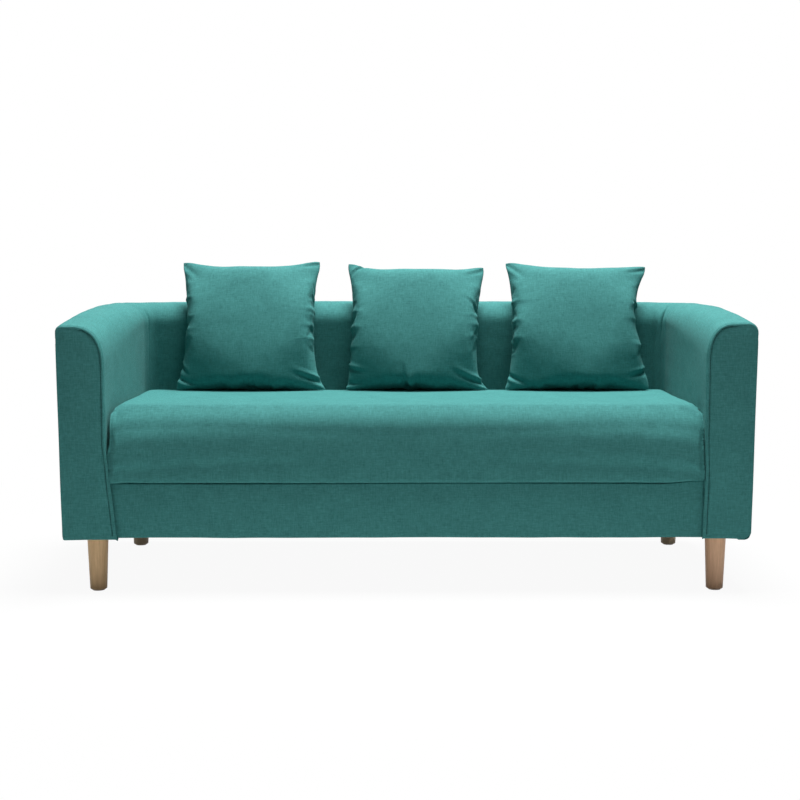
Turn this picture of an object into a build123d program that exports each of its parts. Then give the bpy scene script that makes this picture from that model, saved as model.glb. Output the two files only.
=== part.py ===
from build123d import *
import math
import os

# Three-seat sofa with one bench cushion, three loose pillows and four turned wooden legs.
# Millimetres. Origin: centre of the footprint, on the floor. +X right, +Y to the back, +Z up.
# Left and right are as seen from the front.

# Overall form of the upholstered body
WIDTH = 1800.0               # over the arms, at their top
DEPTH = 720.0                # arm fronts to outside back
BACK_TOP = 744.0             # top of the back above the floor
ARM_DROP = 47.0              # arm tops at their front end, below the top of the back
HEM = 145.0                  # lower edge of the upholstery above the floor
SIDE_TAPER = 9.0             # each outer side leans in by this much from top to hem
ARM_THICKNESS = 125.0
BACK_THICKNESS = 130.0
INNER_TOP_RADIUS = 85.0      # rolled inner edge of arms and back
OUTER_TOP_RADIUS = 28.0      # outer edge of arms and back
OUTER_CORNER_RADIUS = 70.0   # outer rear corners in plan
INNER_CORNER_RADIUS = 38.0   # inner rear corners in plan
BORDER_RECESS = 12.0         # front border behind the arm fronts
SIDE_SEAM_DROP = 38.0        # seam of the outside panels below the top line
SIDE_SEAM_SETBACK = 60.0     # vertical seam of the outside panels, from the back

# Covering and padding
FABRIC = 1.5
SOFT_GAP = 0.3               # clearance between a covering and what it lies on
BOARD = 3.0                  # hardboard panels
PLY = 20.0                   # shaped arm front boards
ARM_BOARD_PADDING = 12.0     # foam over the edge of an arm front board
TOP_PADDING = 35.0           # foam over the top rails
BORDER_FOAM = 8.0
DUST_COVER = 1.0
HEM_TURN = 1.0               # hem below the dust cover

# Timber frame
RAIL_THICKNESS = 28.0         # the rails reach from the dust cover up to the webbing
ARM_TIMBER = 62.0            # depth of the arm rails and posts, across the arm
TOP_RAIL_HEIGHT = 28.0
POST_WIDTH = 58.0
BACK_POST_WIDTH = 64.0
BEARER_WIDTH = 28.0
BEARER_HEIGHT = 60.0
BEARER_COUNT = 3
BEARER_SPACING = 400.0

# Legs and their fixings
LEG_INSET_X = 88.0           # leg centres from the sides
LEG_INSET_Y = 55.0           # leg centres from the front and the back
LEG_TOP_DIAMETER = 55.0
LEG_FOOT_DIAMETER = 44.0
LEG_EDGE = 2.0
GLIDE_DIAMETER = 32.0
GLIDE_HEIGHT = 3.0
BLOCK_SIZE = 66.0
BLOCK_HEIGHT = 38.0
BOLT_DIAMETER = 8.0
BOLT_IN_LEG = 45.0
BOLT_BELOW_BLOCK_TOP = 3.0
BOLT_CLEARANCE = 0.2
NUT_FLANGE_DIAMETER = 20.0
NUT_FLANGE_THICKNESS = 1.5
NUT_BARREL_DIAMETER = 10.0
NUT_BARREL_LENGTH = 11.0

# Frame screws, one above the other at each front corner
SCREW_DIAMETER = 6.0
SCREW_LENGTH = 75.0
SCREW_HEAD_DIAMETER = 11.0
SCREW_HEAD_HEIGHT = 4.0
SCREW_LOW = 60.0             # above the underside of the rails
SCREW_HIGH = 95.0

# Seat suspension: elastic webbing, stretched front to back with cross straps over it
STRAP_WIDTH = 50.0
STRAP_THICKNESS = 2.0
STRAP_COUNT = 10
STRAP_SPACING = 150.0
STRAP_ON_RAIL = 22.0
STRAP_CLEARANCE = 1.0
CROSS_STRAP_COUNT = 3
CROSS_STRAP_SPACING = 150.0
DECK_PAD = 20.0
DECK_CLOTH = 1.2

# Bench seat cushion
CUSHION_BOTTOM = 288.0       # underside above the floor
CUSHION_THICKNESS = 200.0
CUSHION_SIDE_GAP = 4.0       # to each arm
CUSHION_BACK_GAP = 6.0
CUSHION_SEAT_GAP = 0.4       # to the deck below
CUSHION_FRONT_RADIUS = 60.0
CUSHION_EDGE_RADIUS = 24.0
CUSHION_COVER = 1.2
CUSHION_WRAP = 15.0
CUSHION_LAYER_GAP = 0.3

# Zip along the rear face of the bench cushion
ZIP_LENGTH = 1200.0
ZIP_WIDTH = 16.0
ZIP_CLEARANCE = 0.4
SLIDER_LENGTH = 12.0
SLIDER_HEIGHT = 8.0
SLIDER_THICKNESS = 3.0
PULL_LENGTH = 18.0
PULL_WIDTH = 5.0
PULL_THICKNESS = 1.6
PULL_OVERLAP = 1.0           # the pull reaches this far up onto the slider

# Scatter pillows
PILLOW_WIDTH = 425.0
PILLOW_HEIGHT = 399.0
PILLOW_FRONT_BELLY = 74.0
PILLOW_REAR_BELLY = 34.0
PILLOW_TOP_DIP = 22.0        # the upper seam sags by this much between its corners
PILLOW_FOOT_DIP = 5.0        # the lower seam lifts by this much between its corners
PILLOW_SEAM = 5.0            # thickness at the seam
PILLOW_COVER = 1.2
PILLOW_TILT = 19.0           # degrees, leaning back
PILLOW_SEAT_GAP = 0.3
PILLOW_BACK_GAP = 0.3
PILLOW_CENTRES = {"left": -450.0, "middle": 30.5, "right": 499.0}

# Levels and planes worked out from the values above
HALF_WIDTH = WIDTH / 2
HALF_DEPTH = DEPTH / 2
LEG_X = HALF_WIDTH - LEG_INSET_X
LEG_Y = HALF_DEPTH - LEG_INSET_Y
UNDER_BOARD = FABRIC + SOFT_GAP
UNDER_TIMBER = UNDER_BOARD + BOARD
FRAME_BOTTOM = HEM + HEM_TURN + DUST_COVER
LEG_TOP = FRAME_BOTTOM - DUST_COVER
DECK_TOP = CUSHION_BOTTOM - CUSHION_SEAT_GAP
PAD_TOP = DECK_TOP - DECK_CLOTH
PAD_BOTTOM = PAD_TOP - DECK_PAD
CROSS_STRAP_BOTTOM = PAD_BOTTOM - STRAP_THICKNESS
STRAP_BOTTOM = CROSS_STRAP_BOTTOM - STRAP_THICKNESS
RAIL_TOP = STRAP_BOTTOM
INNER_BOTTOM = PAD_BOTTOM + DECK_PAD / 2
INNER_X = HALF_WIDTH - ARM_THICKNESS
INNER_Y = HALF_DEPTH - BACK_THICKNESS
TIMBER_OUTER_X = HALF_WIDTH - SIDE_TAPER - UNDER_TIMBER
TIMBER_INNER_X = TIMBER_OUTER_X - ARM_TIMBER
TIMBER_REAR_Y = HALF_DEPTH - UNDER_TIMBER
REAR_RAIL_FRONT_Y = TIMBER_REAR_Y - RAIL_THICKNESS
BACK_TIMBER_FRONT_Y = TIMBER_REAR_Y - ARM_TIMBER
ARM_BOARD_FRONT_Y = -HALF_DEPTH + UNDER_BOARD
ARM_BOARD_REAR_Y = ARM_BOARD_FRONT_Y + PLY
BORDER_Y = -HALF_DEPTH + BORDER_RECESS
BORDER_FOAM_Y = BORDER_Y + UNDER_BOARD
FRONT_RAIL_Y = BORDER_FOAM_Y + BORDER_FOAM
REAR_POST_Y = HALF_DEPTH - POST_WIDTH
CUSHION_HALF_LENGTH = INNER_X - CUSHION_SIDE_GAP
CUSHION_REAR_Y = INNER_Y - CUSHION_BACK_GAP
CUSHION_TOP = CUSHION_BOTTOM + CUSHION_THICKNESS
TOP_ARC_RADIUS = (ARM_DROP ** 2 + DEPTH ** 2) / (2 * ARM_DROP)
OUTSIDE = 60.0               # how far a cutting shape reaches past the body
OVERCUT = 1.0                # how far a hole or slot is cut past a face
TOUCH = 0.5                  # edges this close to a plane lie on it

os.makedirs("parts", exist_ok=True)


def save(name, shape):
    """Write one sub-part, a single solid or a group of separate solids."""
    solids = shape.solids()
    if len(solids) > 1:
        shape = Compound(children=list(solids))
    else:
        shape = solids[0]
    shape.label = name
    export_step(shape, "parts/" + name + ".step")


def save_pair(name, right_shape):
    """Write a sub-part of the right side and its mirror image on the left."""
    save("right_" + name, right_shape)
    save("left_" + name, mirror(right_shape, about=Plane.YZ))


def box(x0, x1, y0, y1, z0, z1):
    centre = ((x0 + x1) / 2, (y0 + y1) / 2, (z0 + z1) / 2)
    return Pos(*centre) * Box(x1 - x0, y1 - y0, z1 - z0)


def rod(x, y, z0, z1, diameter):
    return Pos(x, y, (z0 + z1) / 2) * Cylinder(diameter / 2, z1 - z0)


def top_line(y, inset):
    """Height of the arm and back top at depth y, measured inset below the surface."""
    reach = TOP_ARC_RADIUS - inset
    return BACK_TOP - TOP_ARC_RADIUS + math.sqrt(reach ** 2 - (y - HALF_DEPTH) ** 2)


def under_top(inset, x0, x1, y0, y1, z0):
    """Block with vertical sides whose top follows the rising line of the arms."""
    middle = (y0 + y1) / 2
    front, crown, rear = [(y, top_line(y, inset)) for y in (y0, middle, y1)]
    sides = Polyline(front, (y0, z0), (y1, z0), rear)
    arc = ThreePointArc(rear, crown, front)
    return Pos(x0, 0, 0) * extrude(Plane.YZ * make_face(sides + arc), amount=x1 - x0)


def outer_form(inset, front_y, bottom=HEM):
    """Outer body of the sofa, leaning sides and rounded rear corners, without its seat well."""
    top_x = HALF_WIDTH - inset
    foot_x = HALF_WIDTH - SIDE_TAPER - inset
    lean = (top_x - foot_x) / (BACK_TOP - HEM)
    low_x = foot_x - lean * (HEM - bottom)
    corners = [(-low_x, bottom), (low_x, bottom), (top_x, BACK_TOP), (-top_x, BACK_TOP)]
    outline = Polyline(*corners, close=True)
    rear_y = HALF_DEPTH - inset
    trapezoid = extrude(Plane.XZ.offset(-rear_y) * make_face(outline), amount=rear_y - front_y)
    form = trapezoid & under_top(inset, -WIDTH, WIDTH, front_y, rear_y, bottom)
    rear = [e for e in form.edges() if abs(e.center().Y - rear_y) < TOUCH and abs(e.center().X) > INNER_X]
    upright = [e for e in rear if e.bounding_box().size.Z > (BACK_TOP - HEM) / 2]
    return fillet(upright, OUTER_CORNER_RADIUS - inset)


def seat_well(inset, bottom, top):
    """Space between the arms and in front of the back, grown by inset."""
    well = box(-INNER_X - inset, INNER_X + inset, -DEPTH, INNER_Y + inset, bottom, top)
    rear = [e for e in well.edges().filter_by(Axis.Z) if e.center().Y > 0]
    return fillet(rear, INNER_CORNER_RADIUS + inset)


def top_edges(form, inner, front_y):
    """Inner or outer edges of the long curved top face, leaving out its two front ends."""
    curved = [f for f in form.faces() if f.geom_type == GeomType.CYLINDER]
    deep = [f for f in curved if f.bounding_box().size.Y > DEPTH / 2]
    level = [f for f in deep if f.bounding_box().min.Z > (HEM + BACK_TOP) / 2]
    top = max(level, key=lambda f: f.area)
    found = []
    for edge in top.edges():
        middle = edge.center()
        beside_seat = abs(middle.X) < HALF_WIDTH - ARM_THICKNESS / 2
        before_back = middle.Y < HALF_DEPTH - BACK_THICKNESS / 2
        if abs(middle.Y - front_y) > TOUCH and (beside_seat and before_back) == inner:
            found.append(edge)
    return found


def tub(inset, front_y):
    """Arms and back in one, as a solid inset from the outer surface of the covering."""
    form = outer_form(inset, front_y) - seat_well(inset, HEM - OUTSIDE, BACK_TOP + OUTSIDE)
    form = fillet(top_edges(form, False, front_y), OUTER_TOP_RADIUS - inset)
    return fillet(top_edges(form, True, front_y), INNER_TOP_RADIUS - inset)


def plan_prism(points, z0, z1):
    return Pos(0, 0, z0) * extrude(make_face(Polyline(*points, close=True)), amount=z1 - z0)


# ---- Zones that divide the covering and the padding -------------------------------------------
FAR_X = HALF_WIDTH + OUTSIDE
FAR_Y = HALF_DEPTH + OUTSIDE
MID_X = INNER_X / 2
RIGHT_ARM_ZONE = plan_prism(
    [
        (FAR_X, -FAR_Y),
        (MID_X, -FAR_Y),
        (MID_X, INNER_Y - (INNER_X - MID_X)),
        (FAR_X, INNER_Y + (FAR_X - INNER_X)),
    ],
    0,
    BACK_TOP + OUTSIDE,
)
LEFT_ARM_ZONE = mirror(RIGHT_ARM_ZONE, about=Plane.YZ)

SIDE_SEAM_Y = HALF_DEPTH - SIDE_SEAM_SETBACK
ARM_MIDDLE_X = HALF_WIDTH - ARM_THICKNESS / 2
outside_right_zone = under_top(SIDE_SEAM_DROP, ARM_MIDDLE_X, FAR_X, -FAR_Y, SIDE_SEAM_Y, 0)
outside_back_zone = under_top(SIDE_SEAM_DROP, -FAR_X, FAR_X, SIDE_SEAM_Y, FAR_Y, 0)


# ---- Leg blocks and legs ----------------------------------------------------------------------
LEG_CORNERS = {
    "front_left": (-LEG_X, -LEG_Y),
    "front_right": (LEG_X, -LEG_Y),
    "rear_left": (-LEG_X, LEG_Y),
    "rear_right": (LEG_X, LEG_Y),
}
BLOCK_TOP = FRAME_BOTTOM + BLOCK_HEIGHT
BOLT_TOP = BLOCK_TOP - BOLT_BELOW_BLOCK_TOP
BOLT_BOTTOM = LEG_TOP - BOLT_IN_LEG
BOLT_HOLE = BOLT_DIAMETER + 2 * BOLT_CLEARANCE


def block_box(x, y):
    half = BLOCK_SIZE / 2
    return box(x - half, x + half, y - half, y + half, FRAME_BOTTOM, BLOCK_TOP)


def leg_block(x, y):
    """Block with a hole for the bolt, stepped at its top to take the tee nut."""
    flange_floor = BLOCK_TOP - NUT_FLANGE_THICKNESS - BOLT_CLEARANCE
    barrel_floor = flange_floor - NUT_BARREL_LENGTH
    flange_hole = NUT_FLANGE_DIAMETER + 2 * BOLT_CLEARANCE
    barrel_hole = NUT_BARREL_DIAMETER + 2 * BOLT_CLEARANCE
    over_top = BLOCK_TOP + OVERCUT
    block = block_box(x, y) - rod(x, y, FRAME_BOTTOM - OVERCUT, over_top, BOLT_HOLE)
    block -= rod(x, y, barrel_floor, over_top, barrel_hole)
    return block - rod(x, y, flange_floor, over_top, flange_hole)


def tee_nut(x, y):
    flange_bottom = BLOCK_TOP - NUT_FLANGE_THICKNESS
    barrel_bottom = flange_bottom - NUT_BARREL_LENGTH
    nut = rod(x, y, flange_bottom, BLOCK_TOP, NUT_FLANGE_DIAMETER)
    nut += rod(x, y, barrel_bottom, flange_bottom, NUT_BARREL_DIAMETER)
    return nut - rod(x, y, barrel_bottom - OVERCUT, BLOCK_TOP + OVERCUT, BOLT_HOLE)


def leg(x, y):
    """Round leg tapering to the foot, with eased edges and a hole for its bolt."""
    foot = LEG_FOOT_DIAMETER / 2
    head = LEG_TOP_DIAMETER / 2
    profile = [(0, GLIDE_HEIGHT), (foot, GLIDE_HEIGHT), (head, LEG_TOP), (0, LEG_TOP)]
    body = revolve(Plane.XZ * make_face(Polyline(*profile, close=True)), axis=Axis.Z)
    body = chamfer([e for e in body.edges() if e.geom_type == GeomType.CIRCLE], LEG_EDGE)
    return Pos(x, y, 0) * body - rod(x, y, BOLT_BOTTOM - OVERCUT, LEG_TOP + OVERCUT, BOLT_HOLE)


for corner, (leg_x, leg_y) in LEG_CORNERS.items():
    save(corner + "_leg", leg(leg_x, leg_y))

blocks = Compound(children=[leg_block(x, y).solid() for x, y in LEG_CORNERS.values()])
save("leg_blocks", blocks)
save("leg_tee_nuts", Compound(children=[tee_nut(x, y).solid() for x, y in LEG_CORNERS.values()]))
bolts = [rod(x, y, BOLT_BOTTOM, BOLT_TOP, BOLT_DIAMETER).solid() for x, y in LEG_CORNERS.values()]
save("leg_hanger_bolts", Compound(children=bolts))
glides = [rod(x, y, 0, GLIDE_HEIGHT, GLIDE_DIAMETER).solid() for x, y in LEG_CORNERS.values()]
save("leg_glides", Compound(children=glides))


def without_blocks(shape):
    for x, y in LEG_CORNERS.values():
        shape -= block_box(x, y)
    return shape


# ---- Timber frame -----------------------------------------------------------------------------
TIMBER_FORM = outer_form(UNDER_TIMBER, ARM_BOARD_FRONT_Y, FRAME_BOTTOM)
BOARD_FORM = outer_form(UNDER_BOARD, ARM_BOARD_FRONT_Y, FRAME_BOTTOM)
SCREW_X = (TIMBER_INNER_X + TIMBER_OUTER_X) / 2
FRONT_RAIL_REAR_Y = FRONT_RAIL_Y + RAIL_THICKNESS


def frame_screw(x, z, clearance):
    """Countersunk screw driven from the front, or the hole it sits in."""
    radius = SCREW_DIAMETER / 2 + clearance
    head = SCREW_HEAD_DIAMETER / 2 + clearance
    length = SCREW_LENGTH + clearance
    profile = [(0, 0), (head, 0), (radius, SCREW_HEAD_HEIGHT), (radius, length), (0, length)]
    body = revolve(make_face(Polyline(*profile, close=True)), axis=Axis.Y)
    return Pos(x, FRONT_RAIL_Y, z) * body


screw_places = [
    (side * SCREW_X, FRAME_BOTTOM + level)
    for side in (-1, 1)
    for level in (SCREW_LOW, SCREW_HIGH)
]
screws = [frame_screw(x, z, 0).solid() for x, z in screw_places]
save("frame_screws", Compound(children=screws))


def drilled(shape):
    for x, z in screw_places:
        shape -= frame_screw(x, z, BOLT_CLEARANCE)
    return shape


front_rail = box(-TIMBER_OUTER_X, TIMBER_OUTER_X, FRONT_RAIL_Y, FRONT_RAIL_REAR_Y, FRAME_BOTTOM, RAIL_TOP)
save("front_rail", drilled(without_blocks(front_rail)))

rear_rail = box(-TIMBER_INNER_X, TIMBER_INNER_X, REAR_RAIL_FRONT_Y, TIMBER_REAR_Y, FRAME_BOTTOM, RAIL_TOP)
save("rear_rail", without_blocks(rear_rail))

side_rail = box(TIMBER_INNER_X, TIMBER_OUTER_X, FRONT_RAIL_REAR_Y, REAR_POST_Y, FRAME_BOTTOM, RAIL_TOP)
save_pair("side_rail", drilled(without_blocks(side_rail & TIMBER_FORM)))

bearers = []
for index in range(BEARER_COUNT):
    bearer_x = (index - (BEARER_COUNT - 1) / 2) * BEARER_SPACING
    bearer = box(
        bearer_x - BEARER_WIDTH / 2,
        bearer_x + BEARER_WIDTH / 2,
        FRONT_RAIL_REAR_Y,
        REAR_RAIL_FRONT_Y,
        FRAME_BOTTOM,
        FRAME_BOTTOM + BEARER_HEIGHT,
    )
    bearers.append(bearer.solid())
save("seat_cross_bearers", Compound(children=bearers))

# Arm front boards carry the shape of the arm front, smaller by the foam rolled over their edge.
arm_board = tub(UNDER_BOARD + ARM_BOARD_PADDING, ARM_BOARD_FRONT_Y)
arm_board &= box(INNER_X, FAR_X, ARM_BOARD_FRONT_Y - OVERCUT, ARM_BOARD_REAR_Y, FRAME_BOTTOM, BACK_TOP)
arm_board -= box(0, FAR_X, FRONT_RAIL_Y, ARM_BOARD_REAR_Y + OVERCUT, FRAME_BOTTOM - OVERCUT, RAIL_TOP)
save_pair("arm_front_board", arm_board)

top_block = under_top(TOP_PADDING, TIMBER_INNER_X, FAR_X, ARM_BOARD_REAR_Y, TIMBER_REAR_Y, RAIL_TOP)
low_block = under_top(
    TOP_PADDING + TOP_RAIL_HEIGHT, TIMBER_INNER_X, FAR_X, ARM_BOARD_REAR_Y, TIMBER_REAR_Y, RAIL_TOP
)
arm_top_rail = (top_block - low_block) & box(0, FAR_X, -FAR_Y, REAR_POST_Y, 0, BACK_TOP) & TIMBER_FORM
save_pair("arm_top_rail", arm_top_rail)

rear_post = under_top(TOP_PADDING, TIMBER_INNER_X, FAR_X, REAR_POST_Y, FAR_Y, FRAME_BOTTOM)
save_pair("rear_post", without_blocks(rear_post & BOARD_FORM))

arm_post_y = (ARM_BOARD_REAR_Y + REAR_POST_Y) / 2
arm_post = under_top(
    TOP_PADDING + TOP_RAIL_HEIGHT,
    TIMBER_INNER_X + STRAP_ON_RAIL + STRAP_CLEARANCE,
    TIMBER_OUTER_X,
    arm_post_y - RAIL_THICKNESS / 2,
    arm_post_y + RAIL_THICKNESS / 2,
    RAIL_TOP,
)
save_pair("arm_middle_post", arm_post)

back_rail = under_top(
    TOP_PADDING, -TIMBER_INNER_X, TIMBER_INNER_X, BACK_TIMBER_FRONT_Y, TIMBER_REAR_Y, RAIL_TOP
)
back_rail -= under_top(
    TOP_PADDING + TOP_RAIL_HEIGHT,
    -FAR_X,
    FAR_X,
    BACK_TIMBER_FRONT_Y - OVERCUT,
    TIMBER_REAR_Y + OVERCUT,
    RAIL_TOP - OVERCUT,
)
save("back_top_rail", back_rail)

# The two back posts stand midway between neighbouring seat straps.
back_posts = []
for side in (-1, 1):
    post_x = side * 2 * STRAP_SPACING
    post = under_top(
        TOP_PADDING + TOP_RAIL_HEIGHT,
        post_x - BACK_POST_WIDTH / 2,
        post_x + BACK_POST_WIDTH / 2,
        REAR_RAIL_FRONT_Y,
        TIMBER_REAR_Y,
        RAIL_TOP,
    )
    back_posts.append(post.solid())
save("back_posts", Compound(children=back_posts))

# Hardboard: outside arms and back, inside arms and back
corner_start_y = HALF_DEPTH - OUTER_CORNER_RADIUS
outer_panel = under_top(TOP_PADDING, TIMBER_INNER_X, FAR_X, ARM_BOARD_REAR_Y, corner_start_y, FRAME_BOTTOM)
save_pair("outside_arm_panel", (outer_panel & BOARD_FORM) - TIMBER_FORM)
inner_panel = under_top(
    TOP_PADDING,
    TIMBER_INNER_X - BOARD,
    TIMBER_INNER_X,
    ARM_BOARD_REAR_Y,
    BACK_TIMBER_FRONT_Y - BOARD,
    PAD_BOTTOM,
)
save_pair("inside_arm_panel", inner_panel)

back_panel_x = min(HALF_WIDTH - SIDE_TAPER - OUTER_CORNER_RADIUS, TIMBER_INNER_X)
back_panel = under_top(TOP_PADDING, -back_panel_x, back_panel_x, TIMBER_REAR_Y, FAR_Y, FRAME_BOTTOM)
save("outside_back_panel", back_panel & BOARD_FORM)
inside_back = under_top(
    TOP_PADDING,
    -TIMBER_INNER_X,
    TIMBER_INNER_X,
    BACK_TIMBER_FRONT_Y - BOARD,
    BACK_TIMBER_FRONT_Y,
    PAD_BOTTOM,
)
save("inside_back_panel", inside_back)

# ---- Seat suspension --------------------------------------------------------------------------
straps = []
for index in range(STRAP_COUNT):
    strap_x = (index - (STRAP_COUNT - 1) / 2) * STRAP_SPACING
    strap = box(
        strap_x - STRAP_WIDTH / 2,
        strap_x + STRAP_WIDTH / 2,
        FRONT_RAIL_REAR_Y - STRAP_ON_RAIL,
        REAR_RAIL_FRONT_Y + STRAP_ON_RAIL,
        STRAP_BOTTOM,
        CROSS_STRAP_BOTTOM,
    )
    straps.append(strap.solid())
save("seat_webbing", Compound(children=straps))

cross_straps = []
for index in range(CROSS_STRAP_COUNT):
    strap_y = (index - (CROSS_STRAP_COUNT - 1) / 2) * CROSS_STRAP_SPACING
    cross_strap = box(
        -TIMBER_INNER_X - STRAP_ON_RAIL,
        TIMBER_INNER_X + STRAP_ON_RAIL,
        strap_y - STRAP_WIDTH / 2,
        strap_y + STRAP_WIDTH / 2,
        CROSS_STRAP_BOTTOM,
        PAD_BOTTOM,
    )
    cross_straps.append(cross_strap.solid())
save("cross_webbing", Compound(children=cross_straps))

deck_pad = seat_well(-SOFT_GAP, PAD_BOTTOM, PAD_TOP)
save("seat_deck_pad", deck_pad & box(-FAR_X, FAR_X, FRONT_RAIL_Y, FAR_Y, 0, PAD_TOP))
deck_cloth = seat_well(-SOFT_GAP, PAD_TOP, DECK_TOP)
save("seat_deck_cloth", deck_cloth & box(-FAR_X, FAR_X, BORDER_FOAM_Y, FAR_Y, 0, DECK_TOP))

# ---- Foam padding -----------------------------------------------------------------------------
padding = tub(UNDER_BOARD, ARM_BOARD_FRONT_Y)
core = under_top(TOP_PADDING, TIMBER_INNER_X - BOARD, FAR_X, ARM_BOARD_REAR_Y, FAR_Y, 0)
core += mirror(core, about=Plane.YZ)
core += under_top(TOP_PADDING, -FAR_X, FAR_X, BACK_TIMBER_FRONT_Y - BOARD, FAR_Y, 0)
padding -= core
padding -= box(-FAR_X, FAR_X, ARM_BOARD_REAR_Y, FAR_Y, 0, INNER_BOTTOM)
padding -= box(-FAR_X, FAR_X, FRONT_RAIL_Y - SOFT_GAP, ARM_BOARD_REAR_Y + OVERCUT, 0, RAIL_TOP)
padding -= arm_board
padding -= mirror(arm_board, about=Plane.YZ)
save_pair("arm_foam", padding & RIGHT_ARM_ZONE)
save("back_foam", padding - RIGHT_ARM_ZONE - LEFT_ARM_ZONE)

BORDER_HALF = INNER_X - SOFT_GAP
border_foam = box(-BORDER_HALF, BORDER_HALF, BORDER_FOAM_Y, FRONT_RAIL_Y, FRAME_BOTTOM, PAD_TOP)
save("front_border_foam", border_foam)

# ---- Fabric covering --------------------------------------------------------------------------
SKIN_FRONT_Y = -HALF_DEPTH + FABRIC
skin = tub(0.0, SKIN_FRONT_Y) - tub(FABRIC, SKIN_FRONT_Y - OVERCUT)
# Inside covers tuck down beside the seat deck and end there.
tuck_x = INNER_X + FABRIC + OVERCUT
tuck_y = INNER_Y + FABRIC + OVERCUT
skin -= box(-tuck_x, tuck_x, BORDER_Y, tuck_y, 0, INNER_BOTTOM)
outside_right = skin & outside_right_zone
outside_back = skin & outside_back_zone
save_pair("outside_arm_cover", outside_right)
save("outside_back_cover", outside_back)
save_pair("inside_arm_cover", (skin & RIGHT_ARM_ZONE) - outside_right_zone - outside_back_zone)
save("inside_back_cover", skin - RIGHT_ARM_ZONE - LEFT_ARM_ZONE - outside_back_zone)

facing = tub(0.0, -HALF_DEPTH) & box(INNER_X - OVERCUT, FAR_X, -FAR_Y, SKIN_FRONT_Y, 0, BACK_TOP)
save_pair("arm_front_cover", facing)
border_cover = box(-BORDER_HALF, BORDER_HALF, BORDER_Y, BORDER_Y + FABRIC, HEM, DECK_TOP)
save("front_border_cover", border_cover)

dust_cover = outer_form(UNDER_TIMBER, ARM_BOARD_FRONT_Y, LEG_TOP)
dust_cover &= box(-FAR_X, FAR_X, FRONT_RAIL_Y, FAR_Y, LEG_TOP, FRAME_BOTTOM)
for x, y in LEG_CORNERS.values():
    dust_cover -= rod(x, y, LEG_TOP - OVERCUT, FRAME_BOTTOM + OVERCUT, BOLT_HOLE)
save("dust_cover", dust_cover)


# ---- Bench seat cushion -----------------------------------------------------------------------
def cushion_form(inset, end_inset):
    """Bench cushion body, inset on its faces and, separately, at its two ends."""
    front, rear = -HALF_DEPTH + inset, CUSHION_REAR_Y - inset
    low, high = CUSHION_BOTTOM + inset, CUSHION_TOP - inset
    section = make_face(Polyline((front, low), (rear, low), (rear, high), (front, high), close=True))
    corners = section.vertices()
    front_top = [v for v in corners if v.X < 0 and v.Y > low + OVERCUT]
    section = fillet(front_top, CUSHION_FRONT_RADIUS - inset)
    corners = section.vertices()
    sharp = [v for v in corners if is_corner(v, front, rear, low, high)]
    section = fillet(sharp, CUSHION_EDGE_RADIUS - inset)
    half = CUSHION_HALF_LENGTH - end_inset
    body = Pos(-half, 0, 0) * extrude(Plane.YZ * section, amount=2 * half)
    plan = box(-half, half, front - OVERCUT, rear, low - OVERCUT, high + OVERCUT)
    rear_corners = [e for e in plan.edges().filter_by(Axis.Z) if e.center().Y > 0]
    return body & fillet(rear_corners, INNER_CORNER_RADIUS - inset)


def is_corner(vertex, front, rear, low, high):
    """True where two straight sides of the cushion section still meet."""
    at_side = min(abs(vertex.X - front), abs(vertex.X - rear)) < 0.01
    at_level = min(abs(vertex.Y - low), abs(vertex.Y - high)) < 0.01
    return at_side and at_level


WRAP_OUT = CUSHION_COVER + CUSHION_LAYER_GAP
FOAM_OUT = WRAP_OUT + CUSHION_WRAP + CUSHION_LAYER_GAP
cushion_middle_z = (CUSHION_BOTTOM + CUSHION_TOP) / 2
zip_half = ZIP_WIDTH / 2
zip_slot = box(
    -ZIP_LENGTH / 2,
    ZIP_LENGTH / 2,
    CUSHION_REAR_Y - CUSHION_COVER - CUSHION_LAYER_GAP / 2,
    CUSHION_REAR_Y + OVERCUT,
    cushion_middle_z - zip_half,
    cushion_middle_z + zip_half,
)
cover = cushion_form(0.0, 0.0) - cushion_form(CUSHION_COVER, CUSHION_COVER) - zip_slot
save("seat_cushion_cover", cover)
wrap = cushion_form(WRAP_OUT, WRAP_OUT) - cushion_form(WRAP_OUT + CUSHION_WRAP, -OVERCUT)
save("seat_cushion_wrap", wrap)
save("seat_cushion_foam", cushion_form(FOAM_OUT, WRAP_OUT))

zip_band = box(
    -ZIP_LENGTH / 2 + ZIP_CLEARANCE,
    ZIP_LENGTH / 2 - ZIP_CLEARANCE,
    CUSHION_REAR_Y - CUSHION_COVER,
    CUSHION_REAR_Y,
    cushion_middle_z - zip_half + ZIP_CLEARANCE,
    cushion_middle_z + zip_half - ZIP_CLEARANCE,
)
save("seat_cushion_zip", zip_band)

SLIDER_Y0 = CUSHION_REAR_Y + ZIP_CLEARANCE
SLIDER_X1 = ZIP_LENGTH / 2 - SLIDER_LENGTH / 2
slider = box(
    SLIDER_X1 - SLIDER_LENGTH,
    SLIDER_X1,
    SLIDER_Y0,
    SLIDER_Y0 + SLIDER_THICKNESS,
    cushion_middle_z - SLIDER_HEIGHT / 2,
    cushion_middle_z + SLIDER_HEIGHT / 2,
)
slider = fillet(slider.edges().filter_by(Axis.Y), SLIDER_HEIGHT / 4)
pull_top = cushion_middle_z - SLIDER_HEIGHT / 2 + PULL_OVERLAP
pull_x = SLIDER_X1 - SLIDER_LENGTH / 2
pull = box(
    pull_x - PULL_WIDTH / 2,
    pull_x + PULL_WIDTH / 2,
    SLIDER_Y0,
    SLIDER_Y0 + PULL_THICKNESS,
    pull_top - PULL_LENGTH,
    pull_top,
)
save("seat_cushion_zip_slider", slider + pull)


# ---- Scatter pillows --------------------------------------------------------------------------
SECTION_STEPS = 4            # lofted sections each side of the middle
BOW_PLACES = (-1.0, -0.95, -0.85, -0.65, -0.35, 0.0, 0.35, 0.65, 0.85, 0.95, 1.0)


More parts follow.
